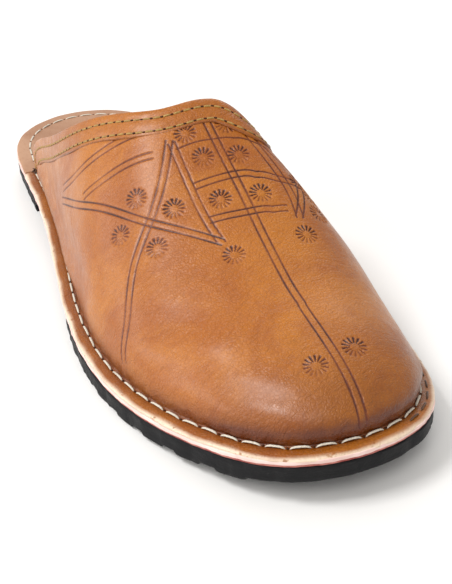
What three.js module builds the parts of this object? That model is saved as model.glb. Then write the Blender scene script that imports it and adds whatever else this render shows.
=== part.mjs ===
// A right-foot babouche: a leather mule with a turned-out, sewn-down upper on a flat layered sole.
// Millimetres, +Z up, toe towards -Y, little-toe side towards -X. The origin is on the floor, in the
// middle of the sole's box. Every shape is worked out from the few sizes and short tables below.
//
// The shoe's own measures are: x across (little-toe side negative), "fromHeel" along the foot, z up.
import * as THREE from 'three';

const FOOT_LENGTH = 285; // outsole, heel to toe
const GAP = 0.3; // between pieces that lie on each other

// Sole layers, from the floor up.
const HEEL_BLOCK_THICKNESS = 4.1;
const HEEL_LIFT_THICKNESS = 1.0;
const OUTSOLE_THICKNESS = 6.0;
const MIDSOLE_THICKNESS = 2.0;
const FOOTBED_THICKNESS = 1.5;
const RIB_DEPTH = 1.2;
const RIB_PITCH = 14;
const RIB_RUN = { from: 148, to: 274 };
const RIB_GROOVE_SHARE = 0.36; // part of each pitch that is groove
const HEEL_BREAST = 66; // front edge of the heel block
const HEEL_INSET = 1.4;
const WAIST_INSET = { depth: 2.6, middle: 108, reach: 62 }; // outsole cut back on the outer waist

// Height of the outsole's top: level at the heel, lower under the ball, rising to the toe.
const ARCH = { from: 63, to: 157 };
const TOE_SPRING = { rise: 8.8, from: 200 };

// Upper.
const WALL = 2.0;
const FLANGE_INSET = 5.5; // from the sole's outline to the crease where the wall stands up
const FLANGE_EDGE_THICKNESS = 1.0;
const FLANGE_CREASE_THICKNESS = 1.6;
const TOE_CENTRE = 238; // where the straight sections end and the toe's fan of sections begins

// Sole outline: half widths on either side of the foot's axis, "along" as a share of the length.
const OUTLINE = [
  { along: 0.06, lateral: 27.5, medial: 32.6 },
  { along: 0.16, lateral: 35.0, medial: 35.6 },
  { along: 0.30, lateral: 37.6, medial: 34.5 },
  { along: 0.42, lateral: 42.2, medial: 34.4 },
  { along: 0.55, lateral: 48.6, medial: 39.2 },
  { along: 0.68, lateral: 51.8, medial: 48.6 },
  { along: 0.80, lateral: 46.7, medial: 49.4 },
  { along: 0.90, lateral: 35.0, medial: 42.8 },
  { along: 0.97, lateral: 20.0, medial: 31.6 },
];
const TOE_TIP_X = 3.6;

// Crown of the sections: its height, how far it lies from the axis, and how square each side is.
// Behind the instep the crown is only imagined: the walls follow it up to the collar.
const SECTIONS = [
  { fromHeel: 58, crownHeight: 104, crownX: 3, lateral: 2.0, medial: 2.2 },
  { fromHeel: 104, crownHeight: 97, crownX: 7, lateral: 2.0, medial: 2.4 },
  { fromHeel: 157, crownHeight: 77, crownX: 12.5, lateral: 1.95, medial: 2.7 },
  { fromHeel: 185, crownHeight: 60, crownX: 17, lateral: 1.9, medial: 3.1 },
  { fromHeel: 210, crownHeight: 47.5, crownX: 15.5, lateral: 1.9, medial: 3.1 },
  { fromHeel: 238, crownHeight: 39.5, crownX: 9, lateral: 2.0, medial: 2.4 },
  { fromHeel: 285, crownHeight: 38, crownX: 5, lateral: 2.0, medial: 2.2 },
];
const WALL_ROUNDNESS = 1.9;
const BULGE = { lateral: 0.01, toe: 0.09, medial: 0.05 }; // how far walls swell over the crease
const BULGE_TOP = 0.9; // share of the climb to the crown where the swelling has died out

// Collar: where the opening's edge runs, from the outer crease (turn -1) over the crown (0)
// to the inner crease (turn 1).
const COLLAR = [
  { turn: -1, fromHeel: 58 },
  { turn: -0.9, fromHeel: 61 },
  { turn: -0.78, fromHeel: 87 },
  { turn: -0.65, fromHeel: 112 },
  { turn: -0.5, fromHeel: 131.5 },
  { turn: -0.35, fromHeel: 146 },
  { turn: -0.2, fromHeel: 155.5 },
  { turn: -0.05, fromHeel: 158 },
  { turn: 0.1, fromHeel: 161 },
  { turn: 0.25, fromHeel: 165 },
  { turn: 0.37, fromHeel: 164.5 },
  { turn: 0.48, fromHeel: 157 },
  { turn: 0.62, fromHeel: 141 },
  { turn: 0.78, fromHeel: 110 },
  { turn: 0.92, fromHeel: 78 },
  { turn: 1, fromHeel: 71 },
];

const TURN_STEPS = 14; // from crown to crease
const LENGTH_STEPS = 24; // from collar to toe centre
const FAN_STEPS = 26; // round the toe
const LAYER_STEPS = 56; // sole stations from heel to toe
const HEEL_STEPS = 40; // stations that two heel blocks laid end to end would have
const OUTLINE_STEPS = 720;
const DIVIDING_X = 3; // a line from heel to toe with the outer side on one hand and the inner on the other
const STEP_LENGTH = 0.8; // run of a groove's sloping side, and of the footbed's step in width

// ---- curves ---------------------------------------------------------------

// A natural cubic spline through (xs, ys), returned as a function.
function spline(xs, ys) {
  const n = xs.length;
  const slopes = new Array(n).fill(0);
  const scale = new Array(n).fill(0);
  for (let i = 1; i < n - 1; i += 1) {
    const before = xs[i] - xs[i - 1];
    const after = xs[i + 1] - xs[i];
    const bend = 6 * ((ys[i + 1] - ys[i]) / after - (ys[i] - ys[i - 1]) / before);
    const pivot = 2 * (before + after) - before * scale[i - 1];
    scale[i] = after / pivot;
    slopes[i] = (bend - before * slopes[i - 1]) / pivot;
  }
  const curvature = new Array(n).fill(0);
  for (let i = n - 2; i > 0; i -= 1) {
    curvature[i] = slopes[i] - scale[i] * curvature[i + 1];
  }
  return (x) => {
    let i = 0;
    while (i < n - 2 && x > xs[i + 1]) {
      i += 1;
    }
    const h = xs[i + 1] - xs[i];
    const a = (xs[i + 1] - x) / h;
    const b = (x - xs[i]) / h;
    const bent = ((a ** 3 - a) * curvature[i] + (b ** 3 - b) * curvature[i + 1]) * (h * h) / 6;
    return a * ys[i] + b * ys[i + 1] + bent;
  };
}

function column(table, key, name) {
  return spline(table.map((row) => row[key]), table.map((row) => row[name]));
}

function smoothstep(x, from, to) {
  const t = THREE.MathUtils.clamp((x - from) / (to - from), 0, 1);
  return t * t * (3 - 2 * t);
}

// ---- sole outline ---------------------------------------------------------

// The closed outline as many points with outward normals, clockwise from the heel seen from above.
function makeOutline(count) {
  const corners = [{ x: 0, fromHeel: 0 }];
  for (const row of OUTLINE) {
    corners.push({ x: -row.lateral, fromHeel: row.along * FOOT_LENGTH });
  }
  corners.push({ x: TOE_TIP_X, fromHeel: FOOT_LENGTH });
  for (const row of [...OUTLINE].reverse()) {
    corners.push({ x: row.medial, fromHeel: row.along * FOOT_LENGTH });
  }
  // Three rounds of the same corners make the middle round a closed, smooth spline.
  const rounds = [...corners, ...corners, ...corners, corners[0]];
  const travelled = [0];
  for (let i = 1; i < rounds.length; i += 1) {
    const step = Math.hypot(rounds[i].x - rounds[i - 1].x, rounds[i].fromHeel - rounds[i - 1].fromHeel);
    travelled.push(travelled[i - 1] + step);
  }
  const xAt = spline(travelled, rounds.map((corner) => corner.x));
  const alongAt = spline(travelled, rounds.map((corner) => corner.fromHeel));
  const start = travelled[corners.length];
  const lap = travelled[2 * corners.length] - start;
  const points = [];
  for (let i = 0; i < count; i += 1) {
    const d = start + (lap * i) / count;
    const dx = xAt(d + 0.5) - xAt(d - 0.5);
    const ds = alongAt(d + 0.5) - alongAt(d - 0.5);
    const size = Math.hypot(dx, ds);
    points.push({ x: xAt(d), s: alongAt(d), nx: -ds / size, ns: dx / size });
  }
  return points;
}

const OUTLINE_POINTS = makeOutline(OUTLINE_STEPS);
const OUTLINE_BOX = new THREE.Box2().setFromPoints(
  OUTLINE_POINTS.map((point) => new THREE.Vector2(point.x, point.s)),
);
const MIDDLE = OUTLINE_BOX.getCenter(new THREE.Vector2());

function insetBy(point, distance) {
  return { x: point.x - point.nx * distance, s: point.s - point.ns * distance };
}

function blendPoints(a, b, share) {
  return {
    x: THREE.MathUtils.lerp(a.x, b.x, share),
    s: THREE.MathUtils.lerp(a.s, b.s, share),
    nx: THREE.MathUtils.lerp(a.nx, b.nx, share),
    ns: THREE.MathUtils.lerp(a.ns, b.ns, share),
  };
}

// The outline point whose inset copy passes a test value of zero, found between two neighbours.
function outlineWhere(distance, measure, accept) {
  const count = OUTLINE_POINTS.length;
  for (let i = 0; i < count; i += 1) {
    const a = OUTLINE_POINTS[i];
    const b = OUTLINE_POINTS[(i + 1) % count];
    const before = measure(insetBy(a, distance));
    const after = measure(insetBy(b, distance));
    if (before * after <= 0 && before !== after && accept(insetBy(a, distance))) {
      return blendPoints(a, b, before / (before - after));
    }
  }
  throw new Error('the outline has no such point');
}

// The outline point beside the place fromHeel on one side (-1 outer, 1 inner) after an inset.
function besideHeel(fromHeel, side, distance) {
  return outlineWhere(distance, (p) => p.s - fromHeel, (p) => (p.x - DIVIDING_X) * side > 0);
}

// ---- heights --------------------------------------------------------------

function toeRise(s) {
  const t = Math.max(0, (s - TOE_SPRING.from) / (FOOT_LENGTH - TOE_SPRING.from));
  return TOE_SPRING.rise * t * t;
}

const HEEL_HEIGHT = HEEL_BLOCK_THICKNESS + HEEL_LIFT_THICKNESS + 2 * GAP;

function outsoleBottom(s) {
  return THREE.MathUtils.lerp(HEEL_HEIGHT, RIB_DEPTH, smoothstep(s, ARCH.from, ARCH.to)) + toeRise(s);
}

const outsoleTop = (s) => outsoleBottom(s) + OUTSOLE_THICKNESS;
const midsoleBottom = (s) => outsoleTop(s) + GAP;
const midsoleTop = (s) => midsoleBottom(s) + MIDSOLE_THICKNESS;
const deck = (s) => midsoleTop(s) + GAP; // what flange and footbed lie on
const flangeTop = (s) => deck(s) + FLANGE_CREASE_THICKNESS;

// ---- meshes ---------------------------------------------------------------

const colourOf = {
  rubber: new THREE.MeshStandardMaterial({ color: 0x2a2a2c, roughness: 0.75, metalness: 0 }),
  lift: new THREE.MeshStandardMaterial({ color: 0xb9713f, roughness: 0.7, metalness: 0 }),
  paleLeather: new THREE.MeshStandardMaterial({ color: 0xf0d9cc, roughness: 0.7, metalness: 0 }),
  insole: new THREE.MeshStandardMaterial({ color: 0xb78a69, roughness: 0.8, metalness: 0 }),
  tan: new THREE.MeshStandardMaterial({ color: 0xc98441, roughness: 0.42, metalness: 0 }),
};

// Collects shared corners and faces, and places them in the part's own frame.
class Shell {
  constructor() {
    this.corners = [];
    this.faces = [];
  }

  corner(x, s, z) {
    this.corners.push(x - MIDDLE.x, MIDDLE.y - s, z);
    return this.corners.length / 3 - 1;
  }

  triangle(a, b, c) {
    if (a !== b && b !== c && c !== a) {
      this.faces.push(a, b, c);
    }
  }

  // Two rows of corners joined by a strip; the rows run the same way.
  strip(lower, upper, closed = false) {
    const last = closed ? lower.length : lower.length - 1;
    for (let i = 0; i < last; i += 1) {
      const next = (i + 1) % lower.length;
      this.triangle(lower[i], lower[next], upper[next]);
      this.triangle(lower[i], upper[next], upper[i]);
    }
  }

  mesh(name, material) {
    const geometry = new THREE.BufferGeometry();
    geometry.setAttribute('position', new THREE.Float32BufferAttribute(this.corners, 3));
    geometry.setIndex(this.faces);
    geometry.computeVertexNormals();
    const mesh = new THREE.Mesh(geometry, material);
    mesh.name = name;
    return mesh;
  }
}

// A flat-topped layer between two stations: its half-width edges, underside and top are functions.
function makeLayer(name, material, stations, edges, underside, top) {
  const shell = new Shell();
  const rings = stations.map((s) => {
    const { left, right } = edges(s);
    return [
      shell.corner(left, s, underside(s)),
      shell.corner(left, s, top(s)),
      shell.corner(right, s, top(s)),
      shell.corner(right, s, underside(s)),
    ];
  });
  for (let i = 0; i + 1 < rings.length; i += 1) {
    shell.strip(rings[i + 1], rings[i], true);
  }
  const first = rings[0];
  const last = rings[rings.length - 1];
  shell.triangle(first[0], first[1], first[2]);
  shell.triangle(first[0], first[2], first[3]);
  shell.triangle(last[0], last[2], last[1]);
  shell.triangle(last[0], last[3], last[2]);
  return shell.mesh(name, material);
}

// Stations closer together towards both rounded ends.
function easedStations(from, to, count) {
  return Array.from({ length: count + 1 }, (_, i) => {
    const share = (1 - Math.cos((Math.PI * i) / count)) / 2;
    return from + (to - from) * share;
  });
}

function insetEdges(distance) {
  return (s) => ({
    left: insetBy(besideHeel(s, -1, distance), distance).x,
    right: insetBy(besideHeel(s, 1, distance), distance).x,
  });
}

const TIP = 0.25; // how far inside the outline the first and last stations lie

// ---- sole -----------------------------------------------------------------

function waistInset(s) {
  const t = (s - WAIST_INSET.middle) / WAIST_INSET.reach;
  return Math.abs(t) < 1 ? WAIST_INSET.depth * (1 - t * t) ** 2 : 0;
}

function outsoleEdges(s) {
  const { left, right } = insetEdges(0)(s);
  return { left: left + waistInset(s), right };
}

// How far a rib stands down at s: nothing at its two edges, where its sloping sides start.
function ribDrop(s) {
  const nearly = 1e-6;
  const phase = ((s - RIB_RUN.from) / RIB_PITCH) % 1;
  const onRib = phase > nearly && phase < 1 - RIB_GROOVE_SHARE - nearly;
  return s > RIB_RUN.from && s < RIB_RUN.to && onRib ? RIB_DEPTH : 0;
}

function outsoleStations() {
  const ribEdges = [];
  for (let s = RIB_RUN.from; s < RIB_RUN.to; s += RIB_PITCH) {
    const ribEnd = s + RIB_PITCH * (1 - RIB_GROOVE_SHARE);
    ribEdges.push(s, s + STEP_LENGTH, ribEnd - STEP_LENGTH, ribEnd);
  }
  const clear = (s) => ribEdges.every((edge) => Math.abs(edge - s) > STEP_LENGTH);
  const stations = easedStations(TIP, FOOT_LENGTH - TIP, LAYER_STEPS).filter(clear);
  return [...stations, ...ribEdges].sort((a, b) => a - b);
}

function makeOutsole() {
  const underside = (s) => outsoleBottom(s) - ribDrop(s);
  return makeLayer('outsole', colourOf.rubber, outsoleStations(), outsoleEdges, underside, outsoleTop);
}

// The stations crowd towards the rounded back and end at the flat heel breast.
function makeHeelPiece(name, material, bottom, thickness) {
  const back = HEEL_INSET + TIP;
  const stations = easedStations(back, back + 2 * (HEEL_BREAST - HEEL_INSET), HEEL_STEPS)
    .filter((s) => s < HEEL_BREAST - 1);
  stations.push(HEEL_BREAST);
  const edges = insetEdges(HEEL_INSET);
  return makeLayer(name, material, stations, edges, () => bottom, () => bottom + thickness);
}

function makeMidsole() {
  const stations = easedStations(TIP, FOOT_LENGTH - TIP, LAYER_STEPS);
  return makeLayer('midsole', colourOf.paleLeather, stations, insetEdges(0), midsoleBottom, midsoleTop);
}

// The footbed reaches the sole's edge behind the upper's ends and lies inside its wall before them.
function makeFootbed() {
  const innerInset = FLANGE_INSET + WALL + GAP;
  const narrowFrom = {
    left: COLLAR[0].fromHeel - STEP_LENGTH - GAP,
    right: COLLAR[COLLAR.length - 1].fromHeel - STEP_LENGTH - GAP,
  };
  const edges = (s) => {
    const wide = insetEdges(GAP)(s);
    if (s <= narrowFrom.left) {
      return wide;
    }
    const slim = insetEdges(innerInset)(s);
    const narrowed = (side) => {
      const share = THREE.MathUtils.clamp((s - narrowFrom[side]) / STEP_LENGTH, 0, 1);
      return THREE.MathUtils.lerp(wide[side], slim[side], share);
    };
    return { left: narrowed('left'), right: narrowed('right') };
  };
  const front = FOOT_LENGTH - innerInset - TIP;
  const steps = Object.values(narrowFrom).flatMap((s) => [s, s + STEP_LENGTH]);
  const stations = easedStations(GAP + TIP, front, LAYER_STEPS)
    .filter((s) => steps.every((edge) => Math.abs(edge - s) > STEP_LENGTH));
  const all = [...stations, ...steps].sort((a, b) => a - b);
  const top = (s) => deck(s) + FOOTBED_THICKNESS;
  return makeLayer('footbed', colourOf.insole, all, edges, deck, top);
}

// ---- upper ----------------------------------------------------------------

const crownHeight = column(SECTIONS, 'fromHeel', 'crownHeight');
const crownX = column(SECTIONS, 'fromHeel', 'crownX');
const squareness = {
  lateral: column(SECTIONS, 'fromHeel', 'lateral'),
  medial: column(SECTIONS, 'fromHeel', 'medial'),
};
const collarAt = column(COLLAR, 'turn', 'fromHeel');

// A point of the outer surface: a rounded quarter section from the crown (turn 0) to the crease (1).
function sectionPoint(crown, crease, turn, square, bulge) {
  const angle = (Math.min(turn, 1) * Math.PI) / 2;
  const climb = turn >= 1 ? 0 : Math.cos(angle) ** (2 / WALL_ROUNDNESS);
  const swell = bulge * Math.sin(Math.PI * Math.min(climb / BULGE_TOP, 1));
  const reach = Math.sin(angle) ** (2 / square) + swell;
  const x = THREE.MathUtils.lerp(crown.x, crease.x, reach);
  const s = THREE.MathUtils.lerp(crown.s, crease.s, reach);
  const foot = flangeTop(crease.s);
  return new THREE.Vector3(x, s, foot + (crownHeight(s) - foot) * climb);
}

// Behind the toe's centre the sections run straight across the foot. A turn below zero is lateral.
function acrossPoint(s, turn) {
  const side = turn < 0 ? 'lateral' : 'medial';
  const crease = insetBy(besideHeel(s, turn < 0 ? -1 : 1, FLANGE_INSET), FLANGE_INSET);
  const crown = { x: crownX(s), s };
  return sectionPoint(crown, { x: crease.x, s }, Math.abs(turn), squareness[side](s), BULGE[side]);
}

// In front of it they fan out from the crown; the angle is -90 degrees lateral to 90 medial.
function fanCrease(angle) {
  const centre = { x: crownX(TOE_CENTRE), s: TOE_CENTRE };
  const across = (p) => (p.x - centre.x) * Math.cos(angle) - (p.s - centre.s) * Math.sin(angle);
  const ahead = (p) => (p.x - centre.x) * Math.sin(angle) + (p.s - centre.s) * Math.cos(angle) > 0;
  return outlineWhere(FLANGE_INSET, across, ahead);
}

function fanPoint(angle, turn) {
  const crease = insetBy(fanCrease(angle), FLANGE_INSET);
  const share = angle / Math.PI + 0.5;
  const square = THREE.MathUtils.lerp(
    squareness.lateral(TOE_CENTRE),
    squareness.medial(TOE_CENTRE),
    share,
  );
  const sides = BULGE.lateral * (1 - share) ** 2 + BULGE.medial * share ** 2;
  const bulge = sides + 2 * BULGE.toe * share * (1 - share);
  return sectionPoint({ x: crownX(TOE_CENTRE), s: TOE_CENTRE }, crease, turn, square, bulge);
}

// The surface's outward direction, from two short steps along it.
function outward(pointAt, u, v) {
  const step = 0.01;
  const first = pointAt(u + step, v).sub(pointAt(u - step, v));
  const second = pointAt(u, v + step).sub(pointAt(u, v - step));
  return first.cross(second).normalize();
}

// Both skins at one place: the inner one lies a wall's thickness inside, straight across at the crease.
function skinsAt(outer, normal, atCrease) {
  if (atCrease) {
    normal.z = 0;
    normal.normalize();
  }
  return { outer, inner: outer.clone().addScaledVector(normal, -WALL) };
}

const NEAR_CREASE = 0.985; // turn at which the crease's direction is taken

function makeUpper() {
  const shell = new Shell();
  const place = (p) => shell.corner(p.x, p.y, p.z);

  // Rear: rows from collar to toe centre, columns from outer crease over the crown to inner crease.
  const turns = Array.from({ length: 2 * TURN_STEPS + 1 }, (_, j) => j / TURN_STEPS - 1);
  const shares = Array.from({ length: LENGTH_STEPS + 1 }, (_, i) => i / LENGTH_STEPS);
  const placeAlong = (turn, share) => THREE.MathUtils.lerp(collarAt(turn), TOE_CENTRE, share);
  const across = (turn, s) => acrossPoint(s, turn);
  const rows = shares.map((share) => turns.map((turn) => {
    const s = placeAlong(turn, share);
    const normal = outward(across, THREE.MathUtils.clamp(turn, -NEAR_CREASE, NEAR_CREASE), s);
    return skinsAt(across(turn, s), normal, Math.abs(turn) === 1);
  }));
  // Toe: rays from the crown to the crease.
  const angles = Array.from({ length: FAN_STEPS - 1 }, (_, k) => ((k + 1) / FAN_STEPS - 0.5) * Math.PI);
  const rays = angles.map((angle) => turns.slice(TURN_STEPS + 1).map((turn) => {
    const normal = outward(fanPoint, angle, Math.min(turn, NEAR_CREASE));
    return skinsAt(fanPoint(angle, turn), normal, turn === 1);
  }));

  // Corners of both skins.
  const skins = {};
  for (const skin of ['outer', 'inner']) {
    skins[skin] = {
      rows: rows.map((row) => row.map((point) => place(point[skin]))),
      rays: rays.map((ray) => ray.map((point) => place(point[skin]))),
    };
    const { rows: grid, rays: fan } = skins[skin];
    const flip = skin === 'inner';
    const strip = (a, b) => (flip ? shell.strip(b, a) : shell.strip(a, b));
    for (let i = 0; i < LENGTH_STEPS; i += 1) {
      strip(grid[i + 1], grid[i]);
    }
    const front = grid[LENGTH_STEPS];
    const crown = front[TURN_STEPS];
    const lateralRay = [crown, ...front.slice(0, TURN_STEPS).reverse()];
    const medialRay = [crown, ...front.slice(TURN_STEPS + 1)];
    const allRays = [lateralRay, ...fan.map((ray) => [crown, ...ray]), medialRay];
    for (let k = 0; k + 1 < allRays.length; k += 1) {
      strip(allRays[k], allRays[k + 1]);
    }
    skins[skin].hem = [
      ...grid.map((row) => row[0]),
      ...fan.map((ray) => ray[TURN_STEPS - 1]),
      ...grid.map((row) => row[2 * TURN_STEPS]).reverse(),
    ];
  }

  // Flange: from the crease out to the sole's outline.
  const hemPoint = (side, share) => besideHeel(placeAlong(side, share), side, FLANGE_INSET);
  const creaseAlong = (side) => shares.map((share) => hemPoint(side, share));
  const creasePoints = [...creaseAlong(-1), ...angles.map(fanCrease), ...creaseAlong(1).reverse()];
  const edgeTop = creasePoints.map((p) => shell.corner(p.x, p.s, deck(p.s) + FLANGE_EDGE_THICKNESS));
  const edgeBottom = creasePoints.map((p) => shell.corner(p.x, p.s, deck(p.s)));
  const innerBottom = skins.inner.hem.map((index) => {
    const x = shell.corners[3 * index] + MIDDLE.x;
    const s = MIDDLE.y - shell.corners[3 * index + 1];
    return shell.corner(x, s, deck(s));
  });
  const { hem } = skins.outer;
  shell.strip(edgeTop, hem);
  shell.strip(edgeBottom, edgeTop);
  shell.strip(innerBottom, edgeBottom);
  shell.strip(skins.inner.hem, innerBottom);

  // Collar edge and the two ends of the flange.
  shell.strip(skins.outer.rows[0], skins.inner.rows[0]);
  const last = hem.length - 1;
  for (const [end, flip] of [[0, false], [last, true]]) {
    const loop = [edgeBottom[end], edgeTop[end], hem[end], skins.inner.hem[end], innerBottom[end]];
    for (let i = 1; i + 1 < loop.length; i += 1) {
      if (flip) {
        shell.triangle(loop[0], loop[i + 1], loop[i]);
      } else {
        shell.triangle(loop[0], loop[i], loop[i + 1]);
      }
    }
  }
  return shell.mesh('upper', colourOf.tan);
}

// ---- the shoe -------------------------------------------------------------

const shoe = new THREE.Group();
shoe.add(makeHeelPiece('heel_block', colourOf.rubber, 0, HEEL_BLOCK_THICKNESS));
shoe.add(makeHeelPiece('heel_lift', colourOf.lift, HEEL_BLOCK_THICKNESS + GAP, HEEL_LIFT_THICKNESS));
shoe.add(makeOutsole());
shoe.add(makeMidsole());
shoe.add(makeFootbed());
shoe.add(makeUpper());

export default shoe;
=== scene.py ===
"""A babouche: a backless slipper of tan leather with tooled lines and stamped rosettes.

Sizes are in millimetres in the shoe's own directions until a mesh is made: x runs across the foot
(outer side negative), s is the distance from the heel and z is up.
"""

import math
from collections import namedtuple

import bmesh
import bpy
import numpy as np
from mathutils import Matrix, Vector
from mathutils.bvhtree import BVHTree


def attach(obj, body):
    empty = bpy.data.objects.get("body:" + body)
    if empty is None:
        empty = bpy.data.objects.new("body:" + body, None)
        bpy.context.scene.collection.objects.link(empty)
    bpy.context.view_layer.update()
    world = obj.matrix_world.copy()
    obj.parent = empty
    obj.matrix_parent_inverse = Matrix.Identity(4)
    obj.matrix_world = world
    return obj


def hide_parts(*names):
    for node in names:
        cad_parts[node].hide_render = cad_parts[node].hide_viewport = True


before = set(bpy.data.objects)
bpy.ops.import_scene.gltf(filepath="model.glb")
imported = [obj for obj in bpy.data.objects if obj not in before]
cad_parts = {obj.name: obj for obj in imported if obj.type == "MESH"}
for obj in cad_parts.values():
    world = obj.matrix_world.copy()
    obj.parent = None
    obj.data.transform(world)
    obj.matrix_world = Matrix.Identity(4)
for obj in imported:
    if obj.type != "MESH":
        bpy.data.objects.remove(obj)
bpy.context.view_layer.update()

# ---- the shoe's sizes ----

FOOT_LENGTH = 285.0
GAP = 0.3

Outline = namedtuple("Outline", "along lateral medial")
OUTLINE = [
    Outline(0.06, 27.5, 32.6),
    Outline(0.16, 35.0, 35.6),
    Outline(0.30, 37.6, 34.5),
    Outline(0.42, 42.2, 34.4),
    Outline(0.55, 48.6, 39.2),
    Outline(0.68, 51.8, 48.6),
    Outline(0.80, 46.7, 49.4),
    Outline(0.90, 35.0, 42.8),
    Outline(0.97, 20.0, 31.6),
]
TOE_TIP_X = 3.6

HEEL_BLOCK_THICKNESS = 4.1
HEEL_LIFT_THICKNESS = 1.0
HEEL_HEIGHT = HEEL_BLOCK_THICKNESS + HEEL_LIFT_THICKNESS + 2 * GAP
HEEL_BREAST = 66.0
HEEL_INSET = 1.4
OUTSOLE_THICKNESS = 6.0
MIDSOLE_THICKNESS = 2.0
FOOTBED_THICKNESS = 1.5
RIB_DEPTH, RIB_PITCH, RIB_GROOVE_SHARE = 1.2, 14.0, 0.36
RIBS_FROM, RIBS_TO = 148.0, 274.0
ARCH_FROM, ARCH_TO = 63.0, 157.0
TOE_RISE, TOE_RISE_FROM = 8.8, 200.0
WAIST_DEPTH, WAIST_MIDDLE, WAIST_REACH = 2.6, 108.0, 62.0

WALL = 2.0
FLANGE_INSET = 5.5
FLANGE_EDGE_THICKNESS = 1.0
FLANGE_CREASE_THICKNESS = 1.6
TOE_CENTRE = 238.0

Section = namedtuple("Section", "s crown_height crown_x lateral medial")
SECTIONS = [
    Section(58, 104, 3.0, 2.0, 2.2),
    Section(104, 97, 7.0, 2.0, 2.4),
    Section(157, 77, 12.5, 1.95, 2.7),
    Section(185, 60, 17.0, 1.9, 3.1),
    Section(210, 47.5, 15.5, 1.9, 3.1),
    Section(238, 39.5, 9.0, 2.0, 2.4),
    Section(285, 38, 5.0, 2.0, 2.2),
]
WALL_ROUNDNESS = 1.9
BULGE_LATERAL, BULGE_TOE, BULGE_MEDIAL = 0.01, 0.09, 0.05
BULGE_TOP = 0.9

Collar = namedtuple("Collar", "turn s")
COLLAR = [
    Collar(-1, 58),
    Collar(-0.9, 61),
    Collar(-0.78, 87),
    Collar(-0.65, 112),
    Collar(-0.5, 131.5),
    Collar(-0.35, 146),
    Collar(-0.2, 155.5),
    Collar(-0.05, 158),
    Collar(0.1, 161),
    Collar(0.25, 165),
    Collar(0.37, 164.5),
    Collar(0.48, 157),
    Collar(0.62, 141),
    Collar(0.78, 110),
    Collar(0.92, 78),
    Collar(1, 71),
]
COLLAR_START, COLLAR_END = COLLAR[0].s, COLLAR[-1].s

# ---- the tooling, on the upper laid flat: across from the middle of the sole, and from the heel ----

Tooled = namedtuple("Tooled", "gap strength points")
PAIR, SINGLE = 2.5, 0.0
TOOLED_OUTER = [
    Tooled(PAIR, 0.9, [(1, 166), (-4.6, 178), (-10, 185), (-17.3, 192.7), (-27, 206), (-38, 214)]),
    Tooled(PAIR, 0.8, [(1.2, 167), (1.6, 180), (1.8, 197), (2.2, 206)]),
    Tooled(PAIR, 1.0, [(-29, 127), (-24.4, 153), (-17.5, 170), (-10, 185), (-3, 196.3), (2.6, 205.7)]),
    Tooled(PAIR, 0.8, [(-27, 127), (-22.6, 139), (-17, 147), (-7.5, 155.2), (-1.7, 159.6)]),
    Tooled(PAIR, 0.8, [(-23, 152.3), (-17, 158), (-10.2, 162.6), (-3.4, 167.2)]),
    Tooled(SINGLE, 0.4, [(-28, 143.6), (-30, 149), (-31.8, 155.2)]),
]
TOOLED_MIDDLE = [
    Tooled(PAIR, 0.9, [(10, 160), (11, 172), (12, 190), (11.4, 204), (10, 220), (8.4, 235), (7.7, 248),
                       (7.2, 258), (6.4, 267), (5.6, 275)]),
    Tooled(SINGLE, 0.8, [(1.6, 170), (7, 170.8), (11.4, 172), (15.5, 173.3), (18.2, 175.7), (21, 177.4)]),
    Tooled(PAIR, 0.9, [(2.6, 183.5), (7.6, 184.3), (12.1, 185.1), (17, 187.2), (19, 190), (24.5, 191.7)]),
    Tooled(PAIR, 0.9, [(2.1, 196.1), (6.8, 197.6), (10.9, 198.9), (15.2, 200), (18, 201.6)]),
]
MIDDLE_TURN, MEDIAL_SPREAD = -0.08, 1.17
ROSETTES = [
    (-10.7, 174.9), (-3.6, 186.3), (-17.8, 180.1), (-10.9, 194.3),
    (4.8, 166.6), (14.6, 168), (6.9, 176.1), (15.2, 179.1), (6.7, 191.2), (16, 194),
    (3, 211.5), (17.8, 212.3), (24.2, 189.8), (24.6, 202.7), (3, 253.4), (11.7, 251.8),
]
ROSETTES_MIRRORED = [(-17.8, 180.1), (-10.9, 194.3)]
LAST_TURN = 0.985  # the nearest that a mirrored line comes to the crease
GROOVE_DEPTH, GROOVE_WIDTH = 0.42, 0.34
ROSETTE_RADIUS, ROSETTE_CENTRE, ROSETTE_STROKES, ROSETTE_DEPTH = 4.3, 1.0, 14, 0.5

# Soft troughs (negative height) and ridges, placed on the upper laid flat.
Crease = namedtuple("Crease", "height width points")
CREASES = [
    Crease(-0.5, 7.0, [(-30, 196), (-24, 212), (-14, 224), (-4, 230)]),
    Crease(0.35, 6.0, [(-34, 210), (-26, 224), (-14, 236), (-2, 242)]),
    Crease(-0.5, 4.5, [(-33, 224), (-24, 236), (-12, 245)]),
    Crease(-0.35, 9.0, [(26, 214), (33, 224), (36, 236)]),
    Crease(-0.7, 6.0, [(-33, 140), (-35, 158), (-36, 176)]),
    Crease(0.5, 5.0, [(-29, 134), (-31, 152), (-32, 170)]),
    Crease(-0.8, 8.0, [(27, 128), (28, 146), (30, 164)]),
    Crease(0.6, 6.0, [(30, 120), (31, 142), (33, 160)]),
    Crease(-0.4, 3.5, [(-20, 246), (-10, 254), (-2, 262)]),
]


# ---- curves ----

CURVE_STEPS = 40  # steps that a smooth curve takes for each of its points
HALF_SPAN = 0.5  # half the stretch over which a direction is measured


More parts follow.
